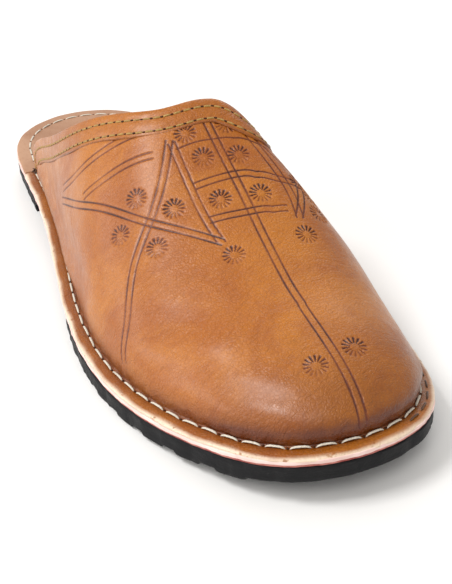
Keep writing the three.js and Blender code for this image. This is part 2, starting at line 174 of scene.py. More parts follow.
def natural_spline(xs, ys):
    """A natural cubic spline through the points, as a function of arrays."""
    xs, ys = np.asarray(xs, float), np.asarray(ys, float)
    n = len(xs)
    h = np.diff(xs)
    system, right = np.eye(n), np.zeros(n)
    for i in range(1, n - 1):
        system[i, i - 1 : i + 2] = h[i - 1], 2 * (h[i - 1] + h[i]), h[i]
        right[i] = 6 * ((ys[i + 1] - ys[i]) / h[i] - (ys[i] - ys[i - 1]) / h[i - 1])
    bend = np.linalg.solve(system, right)

    def value(x):
        x = np.asarray(x, float)
        i = np.clip(np.searchsorted(xs, x) - 1, 0, n - 2)
        a = (xs[i + 1] - x) / h[i]
        b = (x - xs[i]) / h[i]
        curve = ((a**3 - a) * bend[i] + (b**3 - b) * bend[i + 1]) * h[i] ** 2 / 6
        return a * ys[i] + b * ys[i + 1] + curve

    return value


def column(table, name, key="s"):
    return natural_spline([getattr(row, key) for row in table], [getattr(row, name) for row in table])


def smoothstep(x, start, end):
    t = np.clip((np.asarray(x, float) - start) / (end - start), 0, 1)
    return t * t * (3 - 2 * t)


Wave = namedtuple("Wave", "share speed start")
RIPPLE = [Wave(0.6, 1, 0), Wave(0.25, 0.37, 1.3), Wave(0.15, 2.7, 0.4)]


def ripple(along, pitch, phase=0.0):
    """A gentle uneven wave between -1 and 1: a main pitch with a slower and a quicker one on it."""
    turn = 2 * math.pi * (along / pitch + phase)
    return sum(wave.share * np.sin(wave.speed * turn + wave.start) for wave in RIPPLE)


def bump(x, middle, width):
    """A bell-shaped bump of height 1."""
    return np.exp(-(((x - middle) / width) ** 2))


def length_along(path):
    """How far each point of a path lies from its start."""
    return np.r_[0, np.cumsum(np.linalg.norm(np.diff(path, axis=0), axis=1))]


def spaced(path, pitch):
    """Points at an even pitch along a path of points."""
    path = np.asarray(path, float)
    walked = length_along(path)
    count = max(2, int(round(walked[-1] / pitch)) + 1)
    at = np.linspace(0, walked[-1], count)
    return np.stack([np.interp(at, walked, path[:, k]) for k in range(path.shape[1])], -1)


def rounded(points, pitch):
    """A smooth curve through a few points, at an even pitch."""
    points = np.asarray(points, float)
    walked = length_along(points)
    at = np.linspace(0, walked[-1], CURVE_STEPS * len(points))
    curves = [natural_spline(walked, points[:, k])(at) for k in range(points.shape[1])]
    return spaced(np.stack(curves, -1), pitch)


def unit(vectors):
    return vectors / np.linalg.norm(vectors, axis=-1, keepdims=True)


# ---- the sole's outline and heights ----


def closed_outline(count):
    """Points and outward normals of the sole's outline, from the heel up the outer side and back."""
    corners = [(0.0, 0.0)]
    corners += [(-row.lateral, row.along * FOOT_LENGTH) for row in OUTLINE]
    corners += [(TOE_TIP_X, FOOT_LENGTH)]
    corners += [(row.medial, row.along * FOOT_LENGTH) for row in reversed(OUTLINE)]
    laps = np.array(corners * 3 + corners[:1])
    walked = length_along(laps)
    start, end = walked[len(corners)], walked[2 * len(corners)]
    d = start + (end - start) * np.arange(count) / count
    x_at, s_at = natural_spline(walked, laps[:, 0]), natural_spline(walked, laps[:, 1])
    points = np.c_[x_at(d), s_at(d)]
    before, after = d - HALF_SPAN, d + HALF_SPAN
    ahead = unit(np.c_[x_at(after) - x_at(before), s_at(after) - s_at(before)])
    return points, np.c_[-ahead[:, 1], ahead[:, 0]]


OUTLINE_STEPS = 2400
EDGE, EDGE_OUT = closed_outline(OUTLINE_STEPS)
HEEL_I = int(EDGE[:, 1].argmin())
EDGE, EDGE_OUT = np.roll(EDGE, -HEEL_I, axis=0), np.roll(EDGE_OUT, -HEEL_I, axis=0)
TOE_I = int(EDGE[:, 1].argmax())
MID_X = (EDGE[:, 0].min() + EDGE[:, 0].max()) / 2
MID_S = (EDGE[:, 1].min() + EDGE[:, 1].max()) / 2
OUTER_ORDER = np.arange(TOE_I + 1)
INNER_ORDER = np.r_[0, np.arange(len(EDGE) - 1, TOE_I - 1, -1)]


def inset(distance):
    return EDGE - EDGE_OUT * distance


def beside(s, side, distance):
    """x of the inset outline at a distance from the heel, on one side (-1 outer, 1 inner)."""
    path = inset(distance)
    pick = path[OUTER_ORDER if side < 0 else INNER_ORDER]
    pick = pick[pick[:, 1].argsort()]
    return np.interp(s, pick[:, 1], pick[:, 0])


def toe_rise(s):
    t = np.maximum(0, (np.asarray(s, float) - TOE_RISE_FROM) / (FOOT_LENGTH - TOE_RISE_FROM))
    return TOE_RISE * t * t


def outsole_bottom(s):
    return HEEL_HEIGHT + (RIB_DEPTH - HEEL_HEIGHT) * smoothstep(s, ARCH_FROM, ARCH_TO) + toe_rise(s)


def outsole_top(s):
    return outsole_bottom(s) + OUTSOLE_THICKNESS


def deck(s):
    """What the upper's flange and the footbed lie on."""
    return outsole_top(s) + 2 * GAP + MIDSOLE_THICKNESS


def flange_top(s):
    return deck(s) + FLANGE_CREASE_THICKNESS


# ---- the upper's surface ----

CROWN_HEIGHT = column(SECTIONS, "crown_height")
CROWN_X = column(SECTIONS, "crown_x")
SQUARE_LATERAL = column(SECTIONS, "lateral")
SQUARE_MEDIAL = column(SECTIONS, "medial")
COLLAR_S = column(COLLAR, "s", key="turn")

CREASE = inset(FLANGE_INSET)
PEAK_X = float(CROWN_X(TOE_CENTRE))
SIDE_FROM = 40.0  # well behind the ends of the upper
SIDE_S = np.arange(SIDE_FROM, TOE_CENTRE + 3)
SIDE_X = {side: beside(SIDE_S, side, FLANGE_INSET) for side in (-1, 1)}
FAN_ANGLE = np.arctan2(CREASE[:, 0] - PEAK_X, CREASE[:, 1] - TOE_CENTRE)
FAN_ORDER = FAN_ANGLE.argsort()
FAN_REACH = np.hypot(CREASE[:, 0] - PEAK_X, CREASE[:, 1] - TOE_CENTRE)


def fan_radius(angle):
    return np.interp(angle, FAN_ANGLE[FAN_ORDER], FAN_REACH[FAN_ORDER])


def half_width(ps, side):
    """From the crown line to the crease on one side, at a distance from the heel."""
    crease_x = np.where(side < 0, np.interp(ps, SIDE_S, SIDE_X[-1]), np.interp(ps, SIDE_S, SIDE_X[1]))
    return np.abs(crease_x - CROWN_X(np.minimum(ps, TOE_CENTRE)))


def turn_of(px, ps):
    """How far round the section a pattern point lies: 0 on the crown, -1 and 1 on the creases."""
    px, ps = np.asarray(px, float), np.asarray(ps, float)
    crown = CROWN_X(np.minimum(ps, TOE_CENTRE))
    rear_turn = (px - crown) / half_width(ps, np.where(px < crown, -1, 1))
    angle = np.arctan2(px - PEAK_X, ps - TOE_CENTRE)
    fan_turn = np.hypot(px - PEAK_X, ps - TOE_CENTRE) / fan_radius(angle) * np.where(angle < 0, -1, 1)
    return np.where(ps <= TOE_CENTRE, rear_turn, fan_turn)


def pattern_at(turn, ps):
    """The pattern point at a turn round the section, behind the toe's centre."""
    turn, ps = np.asarray(turn, float), np.asarray(ps, float)
    return np.stack([CROWN_X(ps) + turn * half_width(ps, np.sign(turn)), ps], -1)


def surface(px, ps):
    """The upper's outer surface over a pattern point; the pattern is the upper laid flat."""
    px, ps = np.asarray(px, float), np.asarray(ps, float)
    rear = ps <= TOE_CENTRE
    s_rear = np.minimum(ps, TOE_CENTRE)
    turn = np.clip(turn_of(px, ps), -1, 1)
    side = np.where(turn < 0, -1.0, 1.0)
    crown_x = CROWN_X(s_rear)
    angle = np.arctan2(px - PEAK_X, ps - TOE_CENTRE)
    radius = fan_radius(angle)
    crease_x = np.where(rear, crown_x + side * half_width(ps, side), PEAK_X + radius * np.sin(angle))
    crease_s = np.where(rear, ps, TOE_CENTRE + radius * np.cos(angle))
    share = np.clip(np.where(rear, (side + 1) / 2, angle / math.pi + 0.5), 0, 1)
    square_rear = np.where(side < 0, SQUARE_LATERAL(s_rear), SQUARE_MEDIAL(s_rear))
    square_toe = (1 - share) * SQUARE_LATERAL(TOE_CENTRE) + share * SQUARE_MEDIAL(TOE_CENTRE)
    square = np.where(rear, square_rear, square_toe)
    bulge = BULGE_LATERAL * (1 - share) ** 2 + BULGE_MEDIAL * share**2
    bulge += 2 * BULGE_TOE * share * (1 - share)
    bend = np.abs(turn) * math.pi / 2
    climb = np.where(np.abs(turn) >= 1, 0, np.cos(bend)) ** (2 / WALL_ROUNDNESS)
    reach = np.sin(bend) ** (2 / square) + bulge * np.sin(np.pi * np.minimum(climb / BULGE_TOP, 1))
    x = crown_x + (crease_x - crown_x) * reach
    s = s_rear + (crease_s - s_rear) * reach
    foot = flange_top(crease_s)
    return np.stack([x, s, foot + (CROWN_HEIGHT(s) - foot) * climb], -1)


# ---- meshes ----


def to_frame(points):
    """Shoe millimetres to the frame's metres: the toe points to -Y and the inner side to +X."""
    points = np.asarray(points, float)
    return np.stack([points[..., 0] - MID_X, MID_S - points[..., 1], points[..., 2]], -1) / 1000


def placed(name, data):
    """A new object in the scene."""
    item = bpy.data.objects.new(name, data)
    bpy.context.scene.collection.objects.link(item)
    return item


def make_piece(name, points, faces, materials, slot, sharp=None, values=None, inside=None):
    """A closed mesh piece. values are numbers per point; inside marks faces of the second material."""
    mesh = bpy.data.meshes.new(name)
    mesh.from_pydata(to_frame(points).tolist(), [], [list(map(int, face)) for face in faces])
    for label, numbers in (values or {}).items():
        layer = mesh.attributes.new(label, "FLOAT", "POINT")
        layer.data.foreach_set("value", np.asarray(numbers, np.float32))
    for material in materials:
        mesh.materials.append(material)
    if inside is not None:
        mesh.polygons.foreach_set("material_index", np.asarray(inside, np.int32))
    tidy = bmesh.new()
    tidy.from_mesh(mesh)
    bmesh.ops.recalc_face_normals(tidy, faces=tidy.faces)
    tidy.to_mesh(mesh)
    tidy.free()
    mesh.shade_smooth()
    if sharp is not None:
        mesh.set_sharp_from_angle(angle=math.radians(sharp))
    piece = placed(name, mesh)
    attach(piece, "root")
    return piece


def strip(lower, upper, closed=False):
    """Quads between two rows of point numbers, or two rings of them."""
    after = [(i + 1) % len(lower) for i in range(len(lower) if closed else len(lower) - 1)]
    return [(lower[i], lower[j], upper[j], upper[i]) for i, j in enumerate(after)]


# ---- the upper: one hollow closed mesh ----

TURN_STEPS, LENGTH_STEPS, FAN_STEPS = 112, 96, 72
HALF_TURN = TURN_STEPS // 2
CROWDING = 0.45  # how much the steps on the inner side crowd towards the crown
PATH_PITCH, FOLD_PITCH = 0.3, 0.8
FAR = 1e3
POINTS_AT_ONCE = 4000
TOOLING_REACH = PAIR + 2
FINE_REACH = (2.6, 0.9)  # cells this near to the tooling are halved, once for each number
STITCH_PITCH = 7.4
CREASE_STITCH_INSET = FLANGE_INSET - 1.1


def turn_step(k, share):
    """The turn of grid step k from the crown, on the outer side (share 0), the inner (1) or between."""
    v = k / HALF_TURN
    return v ** (1 + CROWDING * share * (1 - v)) if v > 0 else 0.0


def pattern_grid():
    """The flat pattern's points and faces, with the numbers of its points at the collar and the crease."""
    points = []
    rear = np.zeros((TURN_STEPS + 1, LENGTH_STEPS + 1), int)
    for i in range(TURN_STEPS + 1):
        k = i - HALF_TURN
        turn = turn_step(k, 1) if k > 0 else -turn_step(-k, 0)
        start = float(COLLAR_S(turn))
        for j in range(LENGTH_STEPS + 1):
            rear[i, j] = len(points)
            points.append(pattern_at(turn, start + (TOE_CENTRE - start) * j / LENGTH_STEPS))
    fan = np.zeros((FAN_STEPS + 1, HALF_TURN + 1), int)
    fan[0] = rear[HALF_TURN::-1, LENGTH_STEPS]
    fan[FAN_STEPS] = rear[HALF_TURN:, LENGTH_STEPS]
    fan[:, 0] = rear[HALF_TURN, LENGTH_STEPS]
    for a in range(1, FAN_STEPS):
        share = a / FAN_STEPS
        angle = (share - 0.5) * math.pi
        for k in range(1, HALF_TURN + 1):
            fan[a, k] = len(points)
            radius = float(fan_radius(angle)) * turn_step(k, share)
            points.append((PEAK_X + radius * math.sin(angle), TOE_CENTRE + radius * math.cos(angle)))
    faces = []
    for i in range(TURN_STEPS):
        faces += strip(rear[i], rear[i + 1])
    for a in range(FAN_STEPS):
        faces.append((fan[a, 0], fan[a, 1], fan[a + 1, 1]))
        faces += strip(fan[a, 1:], fan[a + 1, 1:])
    rim = np.r_[rear[0], fan[1:FAN_STEPS, HALF_TURN], rear[TURN_STEPS, ::-1]]
    return np.array(points), faces, rear[:, 0], rim


def mirrored(points):
    """Outer-side pattern points carried over the middle line to the inner side."""
    points = np.asarray(points, float)
    turn = MIDDLE_TURN + (MIDDLE_TURN - turn_of(*points.T)) * MEDIAL_SPREAD
    return pattern_at(np.clip(turn, -1, LAST_TURN), points[:, 1])


def on_surface(points, pitch=PATH_PITCH):
    curve = rounded(points, pitch) if len(points) > 2 else spaced(points, pitch)
    return spaced(surface(*curve.T), pitch)


def tooled_paths():
    both = [(line, on_surface(line.points)) for line in TOOLED_OUTER + TOOLED_MIDDLE]
    return both + [(line, on_surface(mirrored(line.points))) for line in TOOLED_OUTER]


def rosette_places():
    flat = np.concatenate([ROSETTES, mirrored(ROSETTES_MIRRORED)])
    return surface(*flat.T), flat


def from_path(points, path, within):
    """Each point's distance to a path and how far along it lies, as far as `within`."""
    distance = np.full(len(points), FAR)
    along = np.zeros(len(points))
    low, high = path.min(0) - within, path.max(0) + within
    near = np.nonzero(((points > low) & (points < high)).all(1))[0]
    for part in np.array_split(near, max(1, len(near) // POINTS_AT_ONCE)):
        apart = np.linalg.norm(points[part, None] - path[None], axis=2)
        nearest = apart.argmin(1)
        distance[part] = apart[np.arange(len(part)), nearest]
        along[part] = nearest
    return distance, along * np.linalg.norm(path[1] - path[0])


def tooling_distance(points, paths, rosettes):
    """How far each point is from the nearest groove or rosette."""
    best = np.full(len(points), FAR)
    for line, path in paths:
        distance, _ = from_path(points, path, TOOLING_REACH)
        best = np.minimum(best, np.abs(distance - line.gap / 2))
    for centre in rosettes:
        best = np.minimum(best, np.maximum(np.linalg.norm(points - centre, axis=1) - ROSETTE_RADIUS, 0))
    return best


def refined_pattern(points, faces, border, paths, rosettes):
    """The flat pattern with its cells halved twice where it is tooled, but not at its border."""
    shape = bmesh.new()
    corners = [shape.verts.new((x, s, 0)) for x, s in points]
    for face in faces:
        shape.faces.new([corners[i] for i in face])
    shape.verts.index_update()
    fixed = {vert.index for i in border for edge in corners[i].link_edges for vert in edge.verts}
    for reach in FINE_REACH:
        flat = np.array([vert.co[:2] for vert in shape.verts])
        near = tooling_distance(surface(*flat.T), paths, rosettes) < reach
        edges = [
            edge for edge in shape.edges
            if near[[vert.index for vert in edge.verts]].any()
            and not any(vert.index in fixed for vert in edge.verts)
        ]
        bmesh.ops.subdivide_edges(shape, edges=edges, cuts=1, use_grid_fill=True)
        shape.verts.index_update()
    flat = np.array([vert.co[:2] for vert in shape.verts])
    cells = [[vert.index for vert in face.verts] for face in shape.faces]
    shape.free()
    return flat, cells


def skin_normals(points, faces):
    mesh = bpy.data.meshes.new("skin")
    mesh.from_pydata(points.tolist(), [], faces)
    normals = np.zeros(len(points) * 3)
    mesh.vertex_normals.foreach_get("vector", normals)
    bpy.data.meshes.remove(mesh)
    normals = normals.reshape(-1, 3)
    centre = np.array([0, points[:, 1].mean(), 0])
    return normals if ((points - centre) * normals).sum() > 0 else -normals


# The tool's pressure wanders slowly along a line, with a quick tremor on it.
Wander = namedtuple("Wander", "swing pitch shift")
PRESSURE, TREMOR = Wander(0.22, 17, 0.31), Wander(0.1, 2.3, 0.17)


def groove_depths(points, paths):
    """How deep the tooled lines press each point, from 0 to 1, uneven along each line."""
    pressed = np.zeros(len(points))
    for number, (line, path) in enumerate(paths):
        distance, along = from_path(points, path, TOOLING_REACH)
        across = np.abs(distance - line.gap / 2)
        within = (along > 0) & (along < along.max())
        slow = ripple(along, PRESSURE.pitch + number, PRESSURE.shift * number)
        quick = ripple(along, TREMOR.pitch, TREMOR.shift * number)
        force = (1 - PRESSURE.swing + PRESSURE.swing * slow) * (1 - TREMOR.swing + TREMOR.swing * quick)
        pressed = np.maximum(pressed, line.strength * within * force * bump(across, 0, GROOVE_WIDTH))
    return pressed


STROKE_FROM, STROKE_TO = -0.25, 0.55  # the part of each spoke's wave that is pressed in
STROKE_FADE_IN, STROKE_FADE_OUT = 0.7, 0.8
STAMP_LEAN, STAMP_TWIST, STAMP_SWING = 0.34, 0.25, 0.13
LEVEL_SHARE = 0.35  # the part of a stamp's depth that doesn't lean


def rosette_marks(points, centres, flat):
    """The stamped rosettes: how deep they press each point, and how dark they leave it.

    Each stamp leans a little, so it is deeper on one side, and no two are pressed quite alike.
    """
    pressed, dark = np.zeros(len(points)), np.zeros(len(points))
    for number, (centre, (px, ps)) in enumerate(zip(centres, flat)):
        near = np.nonzero(np.linalg.norm(points - centre, axis=1) < ROSETTE_RADIUS)[0]
        ahead = unit(surface(px, ps + HALF_SPAN) - surface(px, ps - HALF_SPAN))
        across = surface(px + HALF_SPAN, ps) - surface(px - HALF_SPAN, ps)
        across = unit(across - ahead * (across @ ahead))
        away = points[near] - centre
        u, v = away @ across, away @ ahead
        radius, angle = np.hypot(u, v), np.arctan2(v, u)
        stroke = smoothstep(np.cos(ROSETTE_STROKES * angle + 0.7 * number), STROKE_FROM, STROKE_TO)
        stroke *= smoothstep(radius, ROSETTE_CENTRE, ROSETTE_CENTRE + STROKE_FADE_IN)
        stroke *= 1 - smoothstep(radius, ROSETTE_RADIUS - STROKE_FADE_OUT, ROSETTE_RADIUS)
        lean = 1 - STAMP_LEAN - STAMP_LEAN * np.sin(angle + STAMP_TWIST * math.sin(2.1 * number))
        force = 1 - STAMP_SWING + STAMP_SWING * math.sin(1.7 * number)
        depth = stroke * (LEVEL_SHARE + (1 - LEVEL_SHARE) * lean) * force
        pressed[near] = np.maximum(pressed[near], depth)
        dark[near] = np.maximum(dark[near], stroke * lean * force)
    return pressed, dark


FOLD_REACH, FOLD_FADE, FOLD_LEAST = 3, 0.3, 0.25


def crease_heights(points):
    """The creases' heights, each fading at its two ends."""
    height = np.zeros(len(points))
    for crease in CREASES:
        distance, along = from_path(points, on_surface(crease.points, FOLD_PITCH), FOLD_REACH * crease.width)
        share = along / max(along.max(), 1)
        fade = smoothstep(share, 0, FOLD_FADE) * (1 - smoothstep(share, 1 - FOLD_FADE, 1))
        height += crease.height * (FOLD_LEAST + (1 - FOLD_LEAST) * fade) * bump(distance, 0, crease.width)
    return height


def edge_walk(distance, start, end, by_toe):
    """Points on the inset outline, from the outer side to the inner by the toe, or back by the heel."""
    outer, inner = OUTER_ORDER, INNER_ORDER
    path = inset(distance)
    if by_toe:
        return path[np.r_[outer[path[outer, 1] >= start], inner[path[inner, 1] >= end][::-1]]]
    return path[np.r_[inner[path[inner, 1] <= end][::-1], outer[path[outer, 1] <= start]]]


def crease_route():
    walk = edge_walk(CREASE_STITCH_INSET, COLLAR_START + 2, COLLAR_END + 2, by_toe=True)
    return spaced(np.c_[walk, flange_top(walk[:, 1]) - 0.1], STITCH_PITCH)


def outward_at(places):
    """The outline's outward direction beside each crease point, evened out over its neighbours."""
    neighbours = np.arange(-3, 4)
    nearest = [int(np.hypot(*(CREASE - place[:2]).T).argmin()) for place in places]
    return unit(np.array([EDGE_OUT[(i + neighbours) % len(CREASE)].mean(0) for i in nearest]))


LOW_WALL, STITCH_DARKNESS_REACH = 9, 3.5
LOW_SHADE, TOE_SHADE, LOW_TOE_SHADE, STITCH_SHADE = 0.45, 0.5, 0.5, 0.4
LEVELLED_FROM = 0.96  # the turn from which the relief dies away towards the crease
OUTER_WAIST_OVERHANG, BIG_TOE_OVERHANG = 2.3, 1.2
OVERHANG_HEIGHT, OVERHANG_SPREAD = 4.2, 3.0
PUCKER_HEIGHT, PUCKER_REACH = 0.28, 3.2
UNEVEN_HEIGHT = 0.35


def overhang(points, above):
    """How far the wall hangs out over the flange, at the outer waist and beside the big toe."""
    x, s = points[:, 0], points[:, 1]
    hang = bump(above, OVERHANG_HEIGHT, OVERHANG_SPREAD) * smoothstep(above, 0.2, 2.5)
    outer_waist = (x < 0) * (1 - smoothstep(s, 128, 172)) * smoothstep(s, 60, 74)
    big_toe = (x > 18) * smoothstep(s, 236, 250) * (1 - smoothstep(s, 262, 272))
    return hang * (OUTER_WAIST_OVERHANG * outer_waist + BIG_TOE_OVERHANG * big_toe)


def unevenness(points):
    """The slow unevenness of leather that was lasted by hand."""
    x, s, z = points.T
    return UNEVEN_HEIGHT * np.sin(s / 9.1 + x / 13) * np.sin(z / 7.3 + s / 21)


class Shell:
    """The upper's points and what is painted on them, added part by part."""

    def __init__(self):
        self.points = []
        self.painted = {"burnt": [], "shade": [], "fade": []}

    def add(self, points, **painted):
        """Adds points, and gives back their numbers."""
        first = sum(map(len, self.points))
        self.points.append(points)
        for label, parts in self.painted.items():
            parts.append(np.broadcast_to(painted.get(label, 0.0), len(points)))
        return np.arange(first, first + len(points))


# From the crease out to the flange's edge and back under it: how far out, and how far down its edge.
Hem = namedtuple("Hem", "reach down")
HEMS = [Hem(reach, 0) for reach in (0.5, 1.1, 1.8, 2.6, 3.4, 4.2)]
HEMS += [Hem(4.9, 0.04), Hem(5.3, 0.25), Hem(5.5, 0.55), Hem(5.4, 0.9), Hem(4.9, 1.0), Hem(3.0, 1.0)]
FADE_FROM, FADE_RUN = 4.1, 1.2
STITCH_DENT, DENT_WIDTH = 0.25, 0.7
FLANGE_SWELL = 0.12
EDGE_SHADE, CREASE_SHADE, SHADE_FALL = 0.3, 0.55, 0.9


def add_flange(shell, crease):
    """The flange's rows of points, with the dent that the stitches pull and a ragged cut edge."""
    out, lower = outward_at(crease), deck(crease[:, 1])
    walked = length_along(crease)
    ragged = 0.22 * ripple(walked, 31) + 0.1 * ripple(walked, 5.3, 0.4)
    rows = []
    for reach, down in HEMS:
        share = reach / FLANGE_INSET
        thick = FLANGE_CREASE_THICKNESS + (FLANGE_EDGE_THICKNESS - FLANGE_CREASE_THICKNESS) * share
        height = thick * (1 - down)
        if down == 0:
            height += FLANGE_SWELL * math.sin(math.pi * share) * (1 + ripple(walked, STITCH_PITCH))
            height -= STITCH_DENT * bump(reach, FLANGE_INSET - CREASE_STITCH_INSET, DENT_WIDTH)
        place = crease[:, :2] + out * (reach + share**2 * ragged)[:, None]
        fade = np.clip((reach - FADE_FROM + 0.4 * ripple(walked, 23, 0.2)) / FADE_RUN, 0, 1)
        shade = EDGE_SHADE + max(0.0, CREASE_SHADE - SHADE_FALL * share)
        rows.append(shell.add(np.c_[place, lower + height], shade=shade, fade=fade))
    return rows


def make_upper(leather, lining):
    """Makes the upper, and gives back its plain outer skin for the band to lie on."""
    grid, grid_faces, collar, rim = pattern_grid()
    paths, (rosettes, rosettes_flat) = tooled_paths(), rosette_places()
    flat, faces = refined_pattern(grid, grid_faces, [*collar, *rim], paths, rosettes)
    plain = surface(*flat.T)
    normals = skin_normals(plain, faces)

    grooves = groove_depths(plain, paths)
    stamped, stamped_dark = rosette_marks(plain, rosettes, rosettes_flat)
    to_stitches, along = from_path(plain, spaced(crease_route(), 0.4), 8)
    above = plain[:, 2] - flange_top(plain[:, 1])
    pucker = PUCKER_HEIGHT * np.cos(2 * math.pi * along / STITCH_PITCH) * bump(to_stitches, 0, PUCKER_REACH)
    height = crease_heights(plain) + overhang(plain, above) + pucker + unevenness(plain)
    height -= GROOVE_DEPTH * grooves + ROSETTE_DEPTH * stamped
    height *= 1 - smoothstep(np.abs(turn_of(*flat.T)), LEVELLED_FROM, 1.0)

    low, toe = 1 - smoothstep(above, 0, LOW_WALL), smoothstep(plain[:, 1], 236, 280)
    shade = LOW_SHADE * low + LOW_TOE_SHADE * toe * low + TOE_SHADE * toe
    shade += STITCH_SHADE * bump(to_stitches, 0, STITCH_DARKNESS_REACH)
    shell = Shell()
    outer = plain + normals * height[:, None]
    shell.add(outer, burnt=np.maximum(grooves, stamped_dark), shade=np.clip(shade, 0, 1))

    count = len(grid)
    inner = plain[:count] - normals[:count] * WALL
    inner[:, 2] = np.maximum(inner[:, 2], flange_top(inner[:, 1]) - 0.2)
    inner_numbers = shell.add(inner)
    middle = shell.add((outer[collar] + inner[collar]) / 2)

    rows = [rim, *add_flange(shell, plain[rim])]
    rows.append(shell.add(np.c_[inner[rim][:, :2], deck(plain[rim][:, 1])]))
    rows.append(inner_numbers[rim])
    outside = faces + strip(collar, middle) + strip(middle, inner_numbers[collar])
    for lower, upper in zip(rows, rows[1:]):
        outside += strip(lower, upper)
    outside += [[row[end] for row in rows] + [middle[end]] for end in (0, -1)]
    inside = [inner_numbers[list(face)][::-1] for face in grid_faces]

    values = {label: np.concatenate(parts) for label, parts in shell.painted.items()}
    piece = make_piece("upper_leather", np.concatenate(shell.points), outside + inside, [leather, lining],
                       "tan_leather", values=values, inside=[0] * len(outside) + [1] * len(inside))
    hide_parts("upper")
    return plain, faces


# ---- the turned band round the collar ----

BAND_WIDTH, BAND_HEIGHT, BAND_LINING = 9.5, 0.55, 0.6
BAND_STEP, BAND_PITCH = 0.5, 1.2
BAND_ROWS = (2.8, 7.9)
# The band's section, as widths from the collar's edge and heights over the upper's two skins.
BAND_OUTSIDE = [(9.5, -0.3), (9.5, 0.1), (9.2, 0.35), (8.6, 0.48), (7.9, 0.36), (7.2, 0.52)]
BAND_OUTSIDE += [(5.4, 0.6), (3.6, 0.54), (2.8, 0.38), (2.0, 0.54), (0.9, 0.62)]
BAND_INSIDE = [(0.9, 0.6), (3.0, 0.6), (5.5, 0.6), (6.6, 0.45), (7.0, -0.2)]
BAND_ROUND = (75, 50, 25, 0, -25, -50, -75)
BAND_STANDS_OUT = 1.1
BAND_EDGE_WAVE, BAND_WAVE, BAND_WAVY_FROM = 0.25, 0.06, 6
BAND_SHADE, BAND_LIP_SHADE, BAND_ROUND_SHADE = 0.1, 0.55, 0.25
COLLAR_LINE_STEPS = 1200


def collar_line():
    turns = np.linspace(-1, 1, COLLAR_LINE_STEPS)
    flat = pattern_at(turns, COLLAR_S(turns))
    return spaced(surface(*flat.T), BAND_PITCH)


def smoothed(rows, passes=3):
    for _ in range(passes):
        rows = np.r_[rows[:1], (rows[:-2] + 2 * rows[1:-1] + rows[2:]) / 4, rows[-1:]]
    return rows


def band_grid(plain, faces):
    """Points and normals of a grid that runs from the collar's edge over the upper's surface."""
    tree = BVHTree.FromPolygons(plain.tolist(), [list(map(int, face)) for face in faces])
    place = collar_line()
    along = unit(np.gradient(place, axis=0))
    centre = np.array([0, plain[:, 1].mean(), 20])

    def snapped(points):
        found = [tree.find_nearest(Vector(point)) for point in points]
        normals = np.array([hit[1] for hit in found])
        away = np.sign(((points - centre) * normals).sum(1))[:, None]
        return np.array([hit[0] for hit in found]), unit(smoothed(normals * away))

    place, normals = snapped(place)
    inward = unit(np.cross(normals, along))
    inward *= np.sign(inward[len(inward) // 2, 1])
    grid, grid_normals = [place], [normals]
    for _ in range(int(BAND_WIDTH / BAND_STEP)):
        place, normals = snapped(place + inward * BAND_STEP)
        inward = unit(inward - normals * (inward * normals).sum(1)[:, None])
        grid.append(place)
        grid_normals.append(normals)
    return np.array(grid), np.array(grid_normals)


def on_band(grid, normals, width, height):
    """The row of points at a width from the collar's edge and a height over the upper."""
    at = min(width / BAND_STEP, len(grid) - 1)
    low = min(int(at), len(grid) - 2)
    share = at - low
    place = grid[low] * (1 - share) + grid[low + 1] * share
    normal = unit(normals[low] * (1 - share) + normals[low + 1] * share)
    return place + normal * height, normal


def make_band(grid, normals, leather):
    """The band: over the upper's outer skin, round the collar's edge and down its lining."""
    steps = len(grid[0])
    along = np.arange(steps) * BAND_PITCH
    edge_wave = BAND_EDGE_WAVE * ripple(along, 37)
    rings, shades = [], []
    for width, height in BAND_OUTSIDE:
        wave = height + BAND_WAVE * ripple(along, 7.5, width) * (height > 0.3)
        row, normal = on_band(grid, normals, width, 0)
        if width > BAND_WAVY_FROM:
            back, _ = on_band(grid, normals, width - 1, 0)
            row = row + unit(row - back) * edge_wave[:, None]
        rings.append(row + normal * wave[:, None])
        shades.append(BAND_LIP_SHADE if width > 9 else BAND_SHADE)
    edge, normal = on_band(grid, normals, 0, 0)
    inward = unit(on_band(grid, normals, 1.5, 0)[0] - edge)
    half = (WALL + BAND_HEIGHT + BAND_LINING) / 2
    middle = BAND_HEIGHT - half
    for degrees in BAND_ROUND:
        bend = math.radians(degrees)
        out, up = BAND_STANDS_OUT * math.cos(bend), middle + half * math.sin(bend)
        rings.append(edge - inward * out + normal * up)
        shades.append(BAND_ROUND_SHADE * math.cos(bend))
    for width, height in BAND_INSIDE:
        rings.append(on_band(grid, normals, width, -WALL - height)[0])
        shades.append(BAND_SHADE)
    count = len(rings)
    points = np.array(rings).transpose(1, 0, 2).reshape(-1, 3)
    numbers = np.arange(len(points)).reshape(steps, count)
    faces = [face for a, b in zip(numbers, numbers[1:]) for face in strip(a, b, closed=True)]
    faces += [numbers[0], numbers[-1]]
    plain = np.zeros(len(points))
    values = {"burnt": plain, "shade": np.tile(shades, steps), "fade": plain}
    make_piece("collar_band", points, faces, [leather], "tan_leather", values=values)


# ---- thread ----

